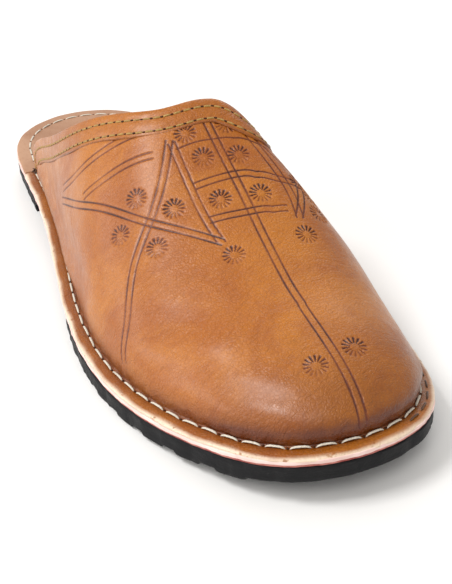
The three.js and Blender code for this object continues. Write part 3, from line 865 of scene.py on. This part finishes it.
THREAD_RINGS, THREAD_SIDES = 13, 8
Thread = namedtuple("Thread", "width height arch twists")
COLLAR_THREAD = Thread(0.75, 0.55, 0.14, 4)
CREASE_THREAD, HEEL_THREAD = Thread(0.78, 0.6, 0.42, 5), Thread(0.78, 0.6, 0.3, 5)
DARK_THREAD = Thread(0.62, 0.5, 0.16, 4)
Hole = namedtuple("Hole", "length width depth")
COLLAR_HOLE, SOLE_HOLE = Hole(1.25, 0.8, 0.1), Hole(0.8, 0.9, 0.1)
HOLE_CORNERS = 10
ARCH_POWER, END_DROP, END_WIDTH, TWIST_SWELL = 2.6, 0.55, 0.08, 0.14
COLLAR_STITCH_PITCH, COLLAR_STITCH_GAP, SOLE_STITCH_GAP, DARK_STITCH_GAP = 3.7, 0.25, 0.45, 0.8
HEEL_STITCH_INSET, SECOND_ROW_INSET = 6.4, 2.2
KNOT_TURNS, KNOT_REACH = 7, 2.6
GOLDEN_ANGLE = 2.39996
UP = np.array([0.0, 0.0, 1.0])


def thread_mesh(starts, ends, ups, thread):
    """Short twisted threads from starts to ends, each arched up in its middle and rounded at its ends."""
    starts, ends, ups = np.asarray(starts), np.asarray(ends), np.asarray(ups)
    across = unit(np.cross(ends - starts, ups))
    angles = 2 * math.pi * np.arange(THREAD_SIDES) / THREAD_SIDES
    points = []
    for t in np.arange(THREAD_RINGS) / (THREAD_RINGS - 1):
        off_middle = abs(2 * t - 1)
        lift = thread.arch * (1 - off_middle**ARCH_POWER) - END_DROP * off_middle**6
        centre = starts + (ends - starts) * t + ups * lift
        taper = (1 - off_middle**5) ** 0.5 * (1 - END_WIDTH) + END_WIDTH
        for angle in angles:
            swell = taper * (1 + TWIST_SWELL * math.cos(2 * angle - 2 * math.pi * thread.twists * t))
            side, up = math.cos(angle) * thread.width / 2, math.sin(angle) * thread.height / 2
            points.append(centre + across * (side * swell) + ups * (up * swell))
    points = np.array(points).transpose(1, 0, 2)
    faces = []
    for rings in np.arange(points.shape[0] * points.shape[1]).reshape(-1, THREAD_RINGS, THREAD_SIDES):
        for low, high in zip(rings, rings[1:]):
            faces += strip(low, high, closed=True)
        faces += [rings[0], rings[-1]]
    return points.reshape(-1, 3), faces


def hole_shade_mesh(places, ups, alongs, hole):
    """Painted shade of the needle holes: small dark sunk dots where the thread goes through, as low closed
    lenses.
    """
    places, ups, alongs = np.asarray(places), np.asarray(ups), unit(np.asarray(alongs))
    across = unit(np.cross(alongs, ups))
    lenses = [[place + up * hole.depth, place - up * hole.depth] for place, up in zip(places, ups)]
    faces = []
    for number, corners in enumerate(lenses):
        base = number * (HOLE_CORNERS + 2)
        for k in range(HOLE_CORNERS):
            angle = 2 * math.pi * k / HOLE_CORNERS
            out = alongs[number] * (math.cos(angle) * hole.length / 2)
            corners.append(places[number] + out + across[number] * (math.sin(angle) * hole.width / 2))
            here, after = base + 2 + k, base + 2 + (k + 1) % HOLE_CORNERS
            faces += [(base, here, after), (base + 1, after, here)]
    return np.concatenate(lenses), faces


def sewn_row(path, ups, gap):
    """Stitch starts, ends and ups between the neighbouring points of a path."""
    ahead = unit(path[1:] - path[:-1])
    return path[:-1] + ahead * gap, path[1:] - ahead * gap, unit(ups[1:] + ups[:-1])


def wandering(path, size):
    """The path with each point moved a little sideways, as hand sewing has it."""
    number = np.arange(len(path))
    ahead = unit(np.gradient(path, axis=0))
    side = np.stack([ahead[:, 1], -ahead[:, 0], 0 * ahead[:, 0]], -1)
    return path + side * (size * np.sin(GOLDEN_ANGLE * number * number))[:, None]


def make_collar_stitches(grid, normals, thread, dark):
    """The band's two rows of stitches."""
    stitches, holes = [], []
    for width in BAND_ROWS:
        row, normal = on_band(grid, normals, width, BAND_HEIGHT - 0.12)
        both = spaced(np.c_[row, normal][1:-1], COLLAR_STITCH_PITCH)
        path, up = wandering(both[:, :3], 0.12), unit(both[:, 3:])
        stitches.append(sewn_row(path, up, COLLAR_STITCH_GAP))
        holes.append((path + up * 0.06, up, unit(np.gradient(path, axis=0))))
    stitches, holes = (map(np.concatenate, zip(*rows)) for rows in (stitches, holes))
    make_piece("collar_stitches", *thread_mesh(*stitches, COLLAR_THREAD), [thread], "olive_thread")
    # dark lenses: painted shade of the needle holes along the band
    make_piece("collar_needle_hole_shades", *hole_shade_mesh(*holes, COLLAR_HOLE), [dark], "olive_thread")


def make_sole_stitches(thread, dark):
    """The cream stitches in the crease, which carry on over the footbed round the heel."""
    walk = edge_walk(HEEL_STITCH_INSET, COLLAR_START - 3, COLLAR_END - 3, by_toe=False)
    heel = spaced(np.c_[walk, deck(walk[:, 1]) + FOOTBED_THICKNESS - 0.05], STITCH_PITCH)
    crease, heel = wandering(crease_route(), 0.18), wandering(heel, 0.15)
    for name, path, size in (("crease", crease, CREASE_THREAD), ("heel", heel, HEEL_THREAD)):
        ups = np.tile(UP, (len(path), 1))
        stitches = thread_mesh(*sewn_row(path, ups, SOLE_STITCH_GAP), size)
        make_piece(f"{name}_stitches", *stitches, [thread], "cream_thread")
        # dark lenses: painted shade of the needle holes in the crease and round the heel
        holes = hole_shade_mesh(path + UP * 0.1, ups, np.gradient(path, axis=0), SOLE_HOLE)
        make_piece(f"{name}_needle_hole_shades", *holes, [dark], "tan_leather")


def make_dark_thread(dark):
    """A knot at each end of the collar and a short second row beside the big toe."""
    starts, ends = [], []
    for side, corner in ((-1, COLLAR_START), (1, COLLAR_END)):
        for k in range(KNOT_TURNS):
            angle = 0.9 * k + 0.4
            spin = np.array([math.cos(angle), math.sin(angle), 0.25 * math.sin(2 * angle)])
            height = flange_top(corner + 1) + 0.35 + 0.16 * k
            centre = np.array([beside(corner, side, 5.0), corner + 1.0, height])
            starts.append(centre - spin * (KNOT_REACH - 0.16 * k))
            ends.append(centre + spin * (KNOT_REACH - 0.16 * k))
    walk = edge_walk(SECOND_ROW_INSET, 236, 243, by_toe=True)
    inner_part = walk[(walk[:, 0] > 20) & (walk[:, 1] > 243)]
    row = spaced(np.c_[inner_part, flange_top(inner_part[:, 1]) - 0.35], STITCH_PITCH * 0.9)
    begin, finish, ups = sewn_row(row, np.tile(UP, (len(row), 1)), DARK_STITCH_GAP)
    ups = np.r_[np.tile(UP, (len(starts), 1)), ups]
    stitches = thread_mesh(np.r_[starts, begin], np.r_[ends, finish], ups, DARK_THREAD)
    make_piece("dark_thread", *stitches, [dark], "olive_thread")


# ---- the layers of the sole ----

ACROSS = 26
SHARP_DEGREES = 38
FOREFOOT_FROM = 150.0
SCALLOP_PITCH, SCALLOP_DEPTH = 14.5, 0.55
RIB_SLOPE = 0.05  # the run of a rib's sloped side, as a share of the pitch
FOOTBED_STEP = 0.8
STAIN_SHARE = 0.2  # of the midsole's height
# A layer's edge from top to bottom: how far each line of it is moved in, and its share of the height.
OUTSOLE_RIMS = [(0.7, 1.0), (0.25, 0.97), (0.0, 0.9), (0.05, 0.7), (0.12, 0.5), (0.1, 0.3)]
OUTSOLE_RIMS += [(0.02, 0.12), (0.3, 0.03), (0.9, 0.0)]
MIDSOLE_RIMS = [(0.5, 1.0), (0.1, 0.93), (0, 0.75), (0.02, 0.5), (0, 0.3), (0.08, 0.12), (0.4, 0.0)]
STAIN_RIMS = [(0.1, 1.0), (0, 0.6), (0.1, 0.0)]
FOOTBED_RIMS = [(0.7, 1.0), (0.3, 0.93), (0.06, 0.75), (0, 0.5), (0.06, 0.2), (0.3, 0.0)]
HEEL_RIMS = [(0.5, 1.0), (0.1, 0.93), (0, 0.8), (0.05, 0.5), (0, 0.2), (0.15, 0.05), (0.6, 0.0)]
LIFT_RIMS = [(0.15, 1.0), (0, 0.8), (0, 0.2), (0.15, 0.0)]


def waist(s, side):
    """How far the outsole draws in under the outer waist."""
    dip = np.clip(1 - ((s - WAIST_MIDDLE) / WAIST_REACH) ** 2, 0, 1) ** 2
    return WAIST_DEPTH * dip if side < 0 else 0.0


def row_end(s, side, distance):
    """The outline's point and outward direction beside s on one side, moved in by a distance."""
    order = OUTER_ORDER if side < 0 else INNER_ORDER
    along = EDGE[order, 1]
    place = np.array([np.interp(s, along, EDGE[order, 0]), s])
    out = unit(np.array([np.interp(s, along, EDGE_OUT[order, k]) for k in (0, 1)]))
    return place - out * distance, out


def perimeter_of(stations, distance, open_end):
    """A layer's row ends in order round it, with the row and column of each and its outward direction.

    The first row, and the last one of a layer that isn't cut off flat there, is a single point.
    """
    last = len(stations) - 1
    keys = [(j, 0) for j in range(last + 1)]
    if open_end:
        keys += [(last, k) for k in range(1, ACROSS + 1)]
    keys += [(j, ACROSS) for j in range(last - 1, 0, -1)]
    places, outs = [], []
    for j, k in keys:
        s = stations[j]
        left, left_out = row_end(s, -1, distance(s, -1))
        right, right_out = row_end(s, 1, distance(s, 1))
        if j == 0 or (j == last and not open_end):
            place, out = (left + right) / 2, np.array([0.0, -1.0 if j == 0 else 1.0])
        elif 0 < k < ACROSS:
            place, out = left + (right - left) * k / ACROSS, np.array([0.0, 1.0])
        else:
            place, out = (left, left_out) if k == 0 else (right, right_out)
        places.append(place)
        outs.append(out)
    return keys, np.array(places), unit(np.array(outs))


def layer(name, stations, distance, rims, top, bottom, material, slot, wave, open_end=False):
    """One layer of the sole: its edge from the rims, and rows of points across its top and bottom."""
    keys, perimeter, outs = perimeter_of(stations, distance, open_end)
    moved_out = wave(perimeter, length_along(perimeter))
    points, rings = [], []
    for moved_in, share in rims:
        force = 1 if 0.04 < share < 0.96 else 0.6
        ring = perimeter - outs * (moved_in - moved_out * force)[:, None]
        high, low = top(*ring.T), bottom(*ring.T)
        rings.append(list(range(len(points), len(points) + len(ring))))
        points += np.c_[ring, low + (high - low) * share].tolist()
    faces = [face for a, b in zip(rings, rings[1:]) for face in strip(a, b, closed=True)]
    last = len(stations) - 1
    single = {0} if open_end else {0, last}
    for ring, height in ((rings[0], top), (rings[-1], bottom)):
        numbers = dict(zip(keys, ring))
        for j in range(last + 1):
            if j in single:
                numbers.update({(j, k): numbers[j, 0] for k in range(1, ACROSS + 1)})
            left, right = (np.array(points[numbers[j, k]][:2]) for k in (0, ACROSS))
            for k in range(1, ACROSS):
                if (j, k) not in numbers:
                    x, s = left + (right - left) * k / ACROSS
                    numbers[j, k] = len(points)
                    points.append([x, s, float(height(x, s))])
        for j in range(last):
            for k in range(ACROSS):
                corners = (numbers[j, k], numbers[j, k + 1], numbers[j + 1, k + 1], numbers[j + 1, k])
                corners = list(dict.fromkeys(corners))
                if len(corners) > 2:
                    faces.append(corners)
    return make_piece(name, np.array(points), faces, [material], slot, sharp=SHARP_DEGREES)


def eased(count):
    """Stations from heel to toe, crowded at both ends, where the outline turns across."""
    start, end = EDGE[0, 1], EDGE[TOE_I, 1]
    return start + (end - start) * (1 - np.cos(np.pi * np.arange(count + 1) / count)) / 2


def rib_drop(s):
    """How far the forefoot's ribs stand below the sole, with short sloped sides."""
    phase = ((s - RIBS_FROM) / RIB_PITCH) % 1
    rib_end = 1 - RIB_GROOVE_SHARE
    on_rib = smoothstep(phase, 0.0, RIB_SLOPE) * (1 - smoothstep(phase, rib_end - RIB_SLOPE, rib_end))
    return np.where((s > RIBS_FROM) & (s < RIBS_TO), RIB_DEPTH * on_rib, 0)


def scalloped(perimeter, walked):
    """The outsole's edge: scallops round the forefoot, with nicks and small waves all round."""
    forefoot = smoothstep(perimeter[:, 1], FOREFOOT_FROM, FOREFOOT_FROM + 25)
    scallop = np.abs(np.sin(math.pi * walked / SCALLOP_PITCH)) ** 0.5 - 0.7
    nicks = np.clip(ripple(walked, 6.1, 0.3) - 0.72, 0, 1) * (0.4 + 0.6 * forefoot)
    return SCALLOP_DEPTH * forefoot * scallop - 0.9 * nicks + 0.12 * ripple(walked, 9)


def make_outsole(rubber):
    rib_end = 1 - RIB_GROOVE_SHARE
    edges = [start + RIB_PITCH * share for start in np.arange(RIBS_FROM, RIBS_TO, RIB_PITCH)
             for share in (0, RIB_SLOPE, rib_end - RIB_SLOPE, rib_end)]
    stations = np.unique(np.r_[eased(300), [s for s in edges if s < RIBS_TO]])
    piece = layer("outsole_rubber", stations, waist, OUTSOLE_RIMS, lambda x, s: outsole_top(s),
                  lambda x, s: outsole_bottom(s) - rib_drop(s), rubber, "sole_rubber", scalloped)
    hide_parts("outsole")


def make_midsole(pale, rose):
    """The midsole, and the stained line along its lowest part."""

    def foot(s):
        return outsole_top(s) + GAP

    def split(x, s):
        return foot(s) + STAIN_SHARE * MIDSOLE_THICKNESS

    def uneven(perimeter, walked):
        return 0.16 * ripple(walked, 11, 0.2) + 0.1 * ripple(walked, 3.7, 0.5) + 0.1

    piece = layer("midsole_leather", eased(240), lambda s, side: 0.0, MIDSOLE_RIMS,
                  lambda x, s: foot(s) + MIDSOLE_THICKNESS, split, pale, "pale_leather", uneven)
    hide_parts("midsole")
    layer("midsole_stain_line", eased(240), lambda s, side: 0.25, STAIN_RIMS,
          lambda x, s: split(x, s) - 0.02, lambda x, s: outsole_top(s) + 0.02,
          rose, "pale_leather", uneven)


def make_footbed(insole):
    """The footbed, out to the sole's edge round the heel and within the upper's wall before its ends."""
    steps_at = {-1: COLLAR_START - FOOTBED_STEP - GAP, 1: COLLAR_END - FOOTBED_STEP - GAP}

    def distance(s, side):
        slim = FLANGE_INSET + WALL + GAP
        return GAP + (slim - GAP) * min(max((s - steps_at[side]) / FOOTBED_STEP, 0), 1)

    def top(x, s):
        heel_dip = 0.35 * np.exp(-(((x - 2) / 22) ** 2 + ((s - 42) / 30) ** 2))
        ball_dip = 0.3 * np.exp(-(((x - 4) / 30) ** 2 + ((s - 195) / 32) ** 2))
        slow = 0.07 * np.sin(x / 6.3) * np.sin(s / 8.9)
        return deck(s) + FOOTBED_THICKNESS - heel_dip - ball_dip + slow

    def wave(perimeter, walked):
        return 0.12 * ripple(walked, 13, 0.7) * (perimeter[:, 1] < 70)

    steps = [start + run for start in steps_at.values() for run in (0, FOOTBED_STEP)]
    piece = layer("insole_board", np.unique(np.r_[eased(230), steps]), distance, FOOTBED_RIMS,
                  top, lambda x, s: deck(s), insole, "insole_leather", wave)
    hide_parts("footbed")


def make_heel(rubber, lift):
    """The heel block and the thin lift on it, both cut off flat at the breast."""
    stations = HEEL_BREAST - (HEEL_BREAST - EDGE[0, 1]) * np.cos(np.pi / 2 * np.linspace(0, 1, 60))
    lift_foot = HEEL_BLOCK_THICKNESS + GAP
    for name, node, foot, head, rims, material, slot, wave in (
        ("heel_rubber", "heel_block", 0, HEEL_BLOCK_THICKNESS, HEEL_RIMS, rubber, "sole_rubber",
         lambda perimeter, walked: 0.15 * ripple(walked, 8, 0.1)),
        ("heel_lift_board", "heel_lift", lift_foot, lift_foot + HEEL_LIFT_THICKNESS, LIFT_RIMS, lift,
         "heel_lift_leather", lambda perimeter, walked: 0.2 * ripple(walked, 10, 0.6) - 0.05),
    ):
        piece = layer(name, stations, lambda s, side: HEEL_INSET, rims, lambda x, s: 0 * s + head,
                      lambda x, s: 0 * s + foot, material, slot, wave, open_end=True)
        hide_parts(node)


# ---- materials ----


class Look:
    """A material with one Principled shader, and short calls that add the nodes that feed it."""

    def __init__(self, name, **constants):
        self.material = bpy.data.materials.new(name)
        self.material.use_nodes = True
        self.tree = self.material.node_tree
        self.tree.nodes.clear()
        self.shader = self.tree.nodes.new("ShaderNodeBsdfPrincipled")
        output = self.tree.nodes.new("ShaderNodeOutputMaterial")
        self.tree.links.new(self.shader.outputs[0], output.inputs[0])
        for socket, value in constants.items():
            self.shader.inputs[socket.replace("_", " ")].default_value = value
        self.place = self.node("ShaderNodeTexCoord").outputs["Object"]

    def node(self, kind, **settings):
        node = self.tree.nodes.new(kind)
        for name, value in settings.items():
            setattr(node, name, value)
        return node

    def feed(self, socket, value):
        if isinstance(value, bpy.types.NodeSocket):
            self.tree.links.new(value, socket)
        else:
            socket.default_value = value

    def stretched(self, x, y, z):
        """Object coordinates in millimetres, divided by these lengths."""
        node = self.node("ShaderNodeVectorMath", operation="MULTIPLY")
        self.feed(node.inputs[0], self.place)
        node.inputs[1].default_value = (1000 / x, 1000 / y, 1000 / z)
        return node.outputs[0]

    def noise(self, size, detail=3.0, rough=0.55, distort=0.0, place=None):
        """Clouds of this size, or clouds over a stretched place when one is given."""
        node = self.node("ShaderNodeTexNoise")
        self.feed(node.inputs["Vector"], place or self.stretched(size, size, size))
        node.inputs["Scale"].default_value = 1
        node.inputs["Detail"].default_value = detail
        node.inputs["Roughness"].default_value = rough
        node.inputs["Distortion"].default_value = distort
        return node.outputs["Fac"]

    def cells(self, size):
        """The distance to the nearest edge of cells of this size."""
        node = self.node("ShaderNodeTexVoronoi", feature="DISTANCE_TO_EDGE")
        self.feed(node.inputs["Vector"], self.stretched(size, size, size))
        node.inputs["Scale"].default_value = 1
        return node.outputs["Distance"]

    def painted(self, name):
        """The numbers that a mesh holds under this name."""
        return self.node("ShaderNodeAttribute", attribute_name=name).outputs["Fac"]

    def math(self, operation, first, second, clamp=False):
        node = self.node("ShaderNodeMath", operation=operation, use_clamp=clamp)
        self.feed(node.inputs[0], first)
        self.feed(node.inputs[1], second)
        return node.outputs[0]

    def spread(self, value, low, high, to_low=0.0, to_high=1.0):
        node = self.node("ShaderNodeMapRange", interpolation_type="SMOOTHSTEP")
        self.feed(node.inputs["Value"], value)
        ends = {"From Min": low, "From Max": high, "To Min": to_low, "To Max": to_high}
        for socket, number in ends.items():
            node.inputs[socket].default_value = number
        return node.outputs["Result"]

    def mix(self, share, first, second):
        node = self.node("ShaderNodeMix", data_type="RGBA", blend_type="MIX")
        sockets = [socket for socket in node.inputs if socket.enabled]
        for socket, value in zip(sockets, (share, first, second)):
            self.feed(socket, value)
        return [socket for socket in node.outputs if socket.enabled][0]

    def between(self, texture, low, high, first, second):
        """The first colour where the texture is under low, and the second where it is over high."""
        return self.mix(self.spread(texture, low, high), tone(*first), tone(*second))

    def stained(self, base, texture, low, high, most, color):
        """The base with up to this much of a colour over it, where the texture is over high."""
        return self.mix(self.spread(texture, low, high, 0, most), base, tone(*color))

    def finished(self, color, roughness, *reliefs):
        """The material; each relief is a height from 0 to 1 and its depth in millimetres."""
        self.feed(self.shader.inputs["Base Color"], color)
        self.feed(self.shader.inputs["Roughness"], roughness)
        normal = None
        for height, depth in reliefs:
            node = self.node("ShaderNodeBump")
            self.feed(node.inputs["Height"], height)
            node.inputs["Distance"].default_value = depth / 1000
            node.inputs["Strength"].default_value = 1
            if normal:
                self.feed(node.inputs["Normal"], normal)
            normal = node.outputs[0]
        if normal:
            self.feed(self.shader.inputs["Normal"], normal)
        return self.material


def tone(red, green, blue):
    """A linear colour from the 0 to 255 numbers that a screen shows."""
    shares = [value / 255 for value in (red, green, blue)]
    linear = [v / 12.92 if v <= 0.04045 else ((v + 0.055) / 1.055) ** 2.4 for v in shares]
    return (*linear, 1)


def tan_leather():
    look = Look("tan_leather", IOR=1.42, Coat_Weight=0.34, Coat_Roughness=0.3)
    clouds = look.noise(38, 4, 0.6, 0.6)
    blotches = look.noise(9, 3, 0.6, 0.4)
    pores = look.cells(1.05)
    grain = look.noise(0.55, 3, 0.6)
    streaks = look.noise(1, 3, 0.6, 0.8, look.stretched(16, 3.4, 9))
    base = look.between(clouds, 0.36, 0.66, (160, 86, 8), (182, 108, 18))
    base = look.stained(base, blotches, 0.5, 0.78, 0.38, (146, 70, 8))
    base = look.stained(base, streaks, 0.55, 0.82, 0.35, (192, 120, 36))
    base = look.mix(look.spread(pores, 0.0, 0.14, 0.3, 0.0), base, tone(126, 62, 14))
    shade = look.painted("shade")
    uneven = look.spread(look.noise(14, 4, 0.65, 0.5), 0.3, 0.7, 0.72, 1.12)
    base = look.mix(look.math("MULTIPLY", shade, uneven, True), base, tone(98, 42, 4))
    freckles = look.spread(look.noise(2.1, 2, 0.5), 0.62, 0.74, 0, 0.8)
    cut = look.mix(freckles, tone(236, 212, 186), tone(158, 102, 48))
    base = look.mix(look.painted("fade"), base, cut)
    burnt = look.painted("burnt")
    base = look.stained(base, burnt, 0.06, 0.45, 0.85, (96, 32, 6))
    base = look.stained(base, burnt, 0.35, 0.8, 0.92, (46, 14, 4))
    roughness = look.spread(look.noise(5, 4, 0.6), 0.3, 0.75, 0.3, 0.48)
    roughness = look.math("ADD", roughness, look.math("MULTIPLY", burnt, 0.25))
    wrinkles = look.noise(1, 3, 0.55, 1.6, look.stretched(4.2, 1.9, 4.2))
    return look.finished(base, roughness, (look.noise(7, 3, 0.5), 0.12),
                         (look.spread(wrinkles, 0.3, 0.7), 0.16), (look.spread(pores, 0, 0.3), 0.07),
                         (grain, 0.035), (streaks, 0.08))


def lining_leather():
    look = Look("lining_leather", IOR=1.45, Sheen_Weight=0.1)
    clouds = look.noise(26, 4, 0.6, 0.4)
    nap = look.noise(0.8, 4, 0.7)
    base = look.between(clouds, 0.35, 0.7, (181, 128, 85), (203, 153, 108))
    base = look.stained(base, nap, 0.5, 0.8, 0.4, (152, 101, 62))
    return look.finished(base, look.spread(nap, 0.3, 0.8, 0.72, 0.88),
                         (nap, 0.07), (look.cells(1.4), 0.04))


def insole_leather():
    look = Look("insole_leather", IOR=1.45, Sheen_Weight=0.06)
    clouds = look.noise(42, 4, 0.6, 0.5)
    worn = look.noise(12, 4, 0.6, 0.3)
    fibres = look.noise(1, 4, 0.65, 0.5, look.stretched(0.9, 2.6, 0.9))
    base = look.between(clouds, 0.34, 0.68, (160, 116, 86), (180, 138, 108))
    base = look.stained(base, worn, 0.5, 0.8, 0.4, (146, 98, 68))
    base = look.stained(base, fibres, 0.5, 0.8, 0.3, (141, 92, 60))
    return look.finished(base, look.spread(fibres, 0.3, 0.8, 0.6, 0.8),
                         (look.noise(6, 3, 0.5), 0.08), (look.cells(0.8), 0.035), (fibres, 0.05))


def pale_leather():
    look = Look("pale_leather", IOR=1.45)
    fibres = look.noise(1, 4, 0.7, 0.6, look.stretched(3.6, 3.6, 0.35))
    patches = look.noise(11, 3, 0.6)
    base = look.between(patches, 0.35, 0.7, (238, 203, 194), (250, 222, 214))
    base = look.stained(base, fibres, 0.52, 0.75, 0.5, (214, 172, 154))
    marks = look.spread(look.noise(3.1, 3, 0.6), 0.66, 0.76, 0, 0.55)
    base = look.mix(marks, base, tone(178, 128, 106))
    return look.finished(base, look.spread(fibres, 0.3, 0.8, 0.6, 0.8),
                         (fibres, 0.12), (look.noise(1.3, 3, 0.6), 0.05))


def rose_stain():
    look = Look("rose_stain", IOR=1.45)
    patches = look.noise(7, 4, 0.6)
    base = look.between(patches, 0.35, 0.68, (158, 72, 66), (206, 134, 122))
    return look.finished(base, look.spread(look.noise(1.5), 0.3, 0.8, 0.5, 0.7),
                         (look.noise(0.9, 3, 0.6), 0.05))


def sole_rubber():
    look = Look("sole_rubber", IOR=1.4, Specular_IOR_Level=0.3)
    dust = look.noise(13, 5, 0.65, 0.3)
    specks = look.noise(0.9, 3, 0.65)
    scuffs = look.noise(1, 4, 0.7, 0.4, look.stretched(7, 7, 0.8))
    base = look.between(dust, 0.42, 0.78, (15, 15, 17), (26, 26, 28))
    base = look.stained(base, specks, 0.6, 0.78, 0.45, (44, 44, 46))
    base = look.stained(base, scuffs, 0.6, 0.8, 0.35, (56, 55, 54))
    return look.finished(base, look.spread(dust, 0.3, 0.8, 0.5, 0.78),
                         (look.noise(2.4, 4, 0.65), 0.16), (specks, 0.08), (scuffs, 0.1))


def lift_board():
    look = Look("heel_lift_board", IOR=1.45)
    fibres = look.noise(1, 4, 0.7, 0.5, look.stretched(4, 4, 0.3))
    base = look.between(fibres, 0.35, 0.75, (196, 112, 64), (148, 72, 36))
    return look.finished(base, look.spread(fibres, 0.3, 0.8, 0.6, 0.8), (fibres, 0.1))


def waxed_thread(name, light, dark, dirt):
    look = Look(name, IOR=1.5, Sheen_Weight=0.15)
    fibres = look.noise(0.35, 3, 0.6)
    grime = look.noise(8, 4, 0.65)
    base = look.between(fibres, 0.35, 0.75, light, dark)
    base = look.stained(base, grime, 0.5, 0.8, 0.6, dirt)
    return look.finished(base, look.spread(fibres, 0.3, 0.8, 0.48, 0.68), (fibres, 0.06))


# Painted shade: dark brown discs stand for the shade inside the needle holes.
def needle_hole_shade():
    look = Look("needle_hole_shade", IOR=1.4)
    base = look.between(look.noise(0.8), 0.4, 0.7, (52, 24, 12), (84, 42, 18))
    return look.finished(base, look.spread(look.noise(1.1), 0.3, 0.8, 0.75, 0.95),
                         (look.noise(0.5), 0.05))


def floor_paint():
    look = Look("floor_paint", IOR=1.45)
    patches = look.noise(160, 3, 0.5)
    base = look.between(patches, 0.3, 0.7, (240, 239, 237), (246, 245, 243))
    return look.finished(base, look.spread(look.noise(20), 0.3, 0.7, 0.72, 0.82))


# ---- studio and camera ----

FLOOR_REACH, FLOOR_CELLS = 4.0, 24
WORLD_COLOR, WORLD_STRENGTH = (1.0, 0.985, 0.97, 1), 0.62

Softbox = namedtuple("Softbox", "name place aim width height power color")
SHOE, TOE = (0, -0.02, 0.03), (-0.02, -0.09, 0.04)
WHITE, WARM = (1, 1, 1), (1, 0.98, 0.95)
SOFTBOXES = [
    Softbox("key_by_camera", (-0.42, -0.62, 0.95), SHOE, 0.5, 0.42, 2.6, WARM),
    Softbox("toe_glow", (-0.60, 0.02, 1.0), TOE, 0.36, 0.28, 7, WHITE),
    Softbox("rim_behind", (0.5, 0.85, 0.62), SHOE, 0.8, 0.5, 2.4, WHITE),
    Softbox("outer_side", (-1.0, 0.35, 0.40), SHOE, 0.7, 0.35, 3.6, WHITE),
]


def make_floor():
    """A wide, flat, pale floor."""
    shape = bmesh.new()
    bmesh.ops.create_grid(shape, x_segments=FLOOR_CELLS, y_segments=FLOOR_CELLS, size=FLOOR_REACH)
    mesh = bpy.data.meshes.new("floor")
    shape.to_mesh(mesh)
    shape.free()
    mesh.materials.append(floor_paint())
    placed("floor", mesh)


def make_studio():
    world = bpy.data.worlds.new("studio")
    world.use_nodes = True
    background = world.node_tree.nodes["Background"]
    background.inputs["Color"].default_value = WORLD_COLOR
    background.inputs["Strength"].default_value = WORLD_STRENGTH
    bpy.context.scene.world = world
    for softbox in SOFTBOXES:
        light = bpy.data.lights.new(softbox.name, "AREA")
        light.shape = "RECTANGLE"
        light.size, light.size_y = softbox.width, softbox.height
        light.energy = softbox.power
        light.color = softbox.color
        lamp = placed(softbox.name, light)
        lamp.location = softbox.place
        ahead = Vector(softbox.aim) - Vector(softbox.place)
        lamp.rotation_euler = ahead.to_track_quat("-Z", "Y").to_euler()
    bpy.context.scene.view_settings.view_transform = "Standard"
    bpy.context.scene.view_settings.look = "None"


CAMERA_PLACE = (-0.1116, -0.3198, 0.2076)
CAMERA_AIM = (0.0189, -0.0120, -0.0081)
CAMERA_LENS, CAMERA_ROLL = 61.0, math.radians(-2.5)
CAMERA_NEAR = 0.01


def make_camera():
    data = bpy.data.cameras.new("camera")
    data.lens = CAMERA_LENS
    data.clip_start = CAMERA_NEAR
    camera = placed("camera", data)
    ahead = (Vector(CAMERA_AIM) - Vector(CAMERA_PLACE)).normalized()
    right = ahead.cross(Vector((0, 0, 1))).normalized()
    up = right.cross(ahead)
    rolled_right = right * math.cos(CAMERA_ROLL) + up * math.sin(CAMERA_ROLL)
    rolled_up = up * math.cos(CAMERA_ROLL) - right * math.sin(CAMERA_ROLL)
    axes = Matrix((rolled_right, rolled_up, -ahead)).transposed()
    camera.matrix_world = Matrix.Translation(CAMERA_PLACE) @ axes.to_4x4()
    bpy.context.scene.camera = camera


# ---- the whole scene ----


def main():
    # dark is the painted shade of the needle holes
    leather, dark = tan_leather(), needle_hole_shade()
    cream = waxed_thread("cream_thread", (222, 214, 200), (184, 174, 152), (138, 112, 84))
    olive = waxed_thread("olive_thread", (176, 140, 68), (128, 94, 38), (104, 66, 26))
    brown = waxed_thread("dark_thread", (92, 58, 30), (60, 36, 20), (40, 24, 14))
    rubber = sole_rubber()
    plain, faces = make_upper(leather, lining_leather())
    grid, grid_normals = band_grid(plain, faces)
    make_band(grid, grid_normals, leather)
    make_collar_stitches(grid, grid_normals, olive, dark)
    make_sole_stitches(cream, dark)
    make_dark_thread(brown)
    make_footbed(insole_leather())
    make_midsole(pale_leather(), rose_stain())
    make_outsole(rubber)
    make_heel(rubber, lift_board())
    make_floor()
    make_studio()
    make_camera()


main()
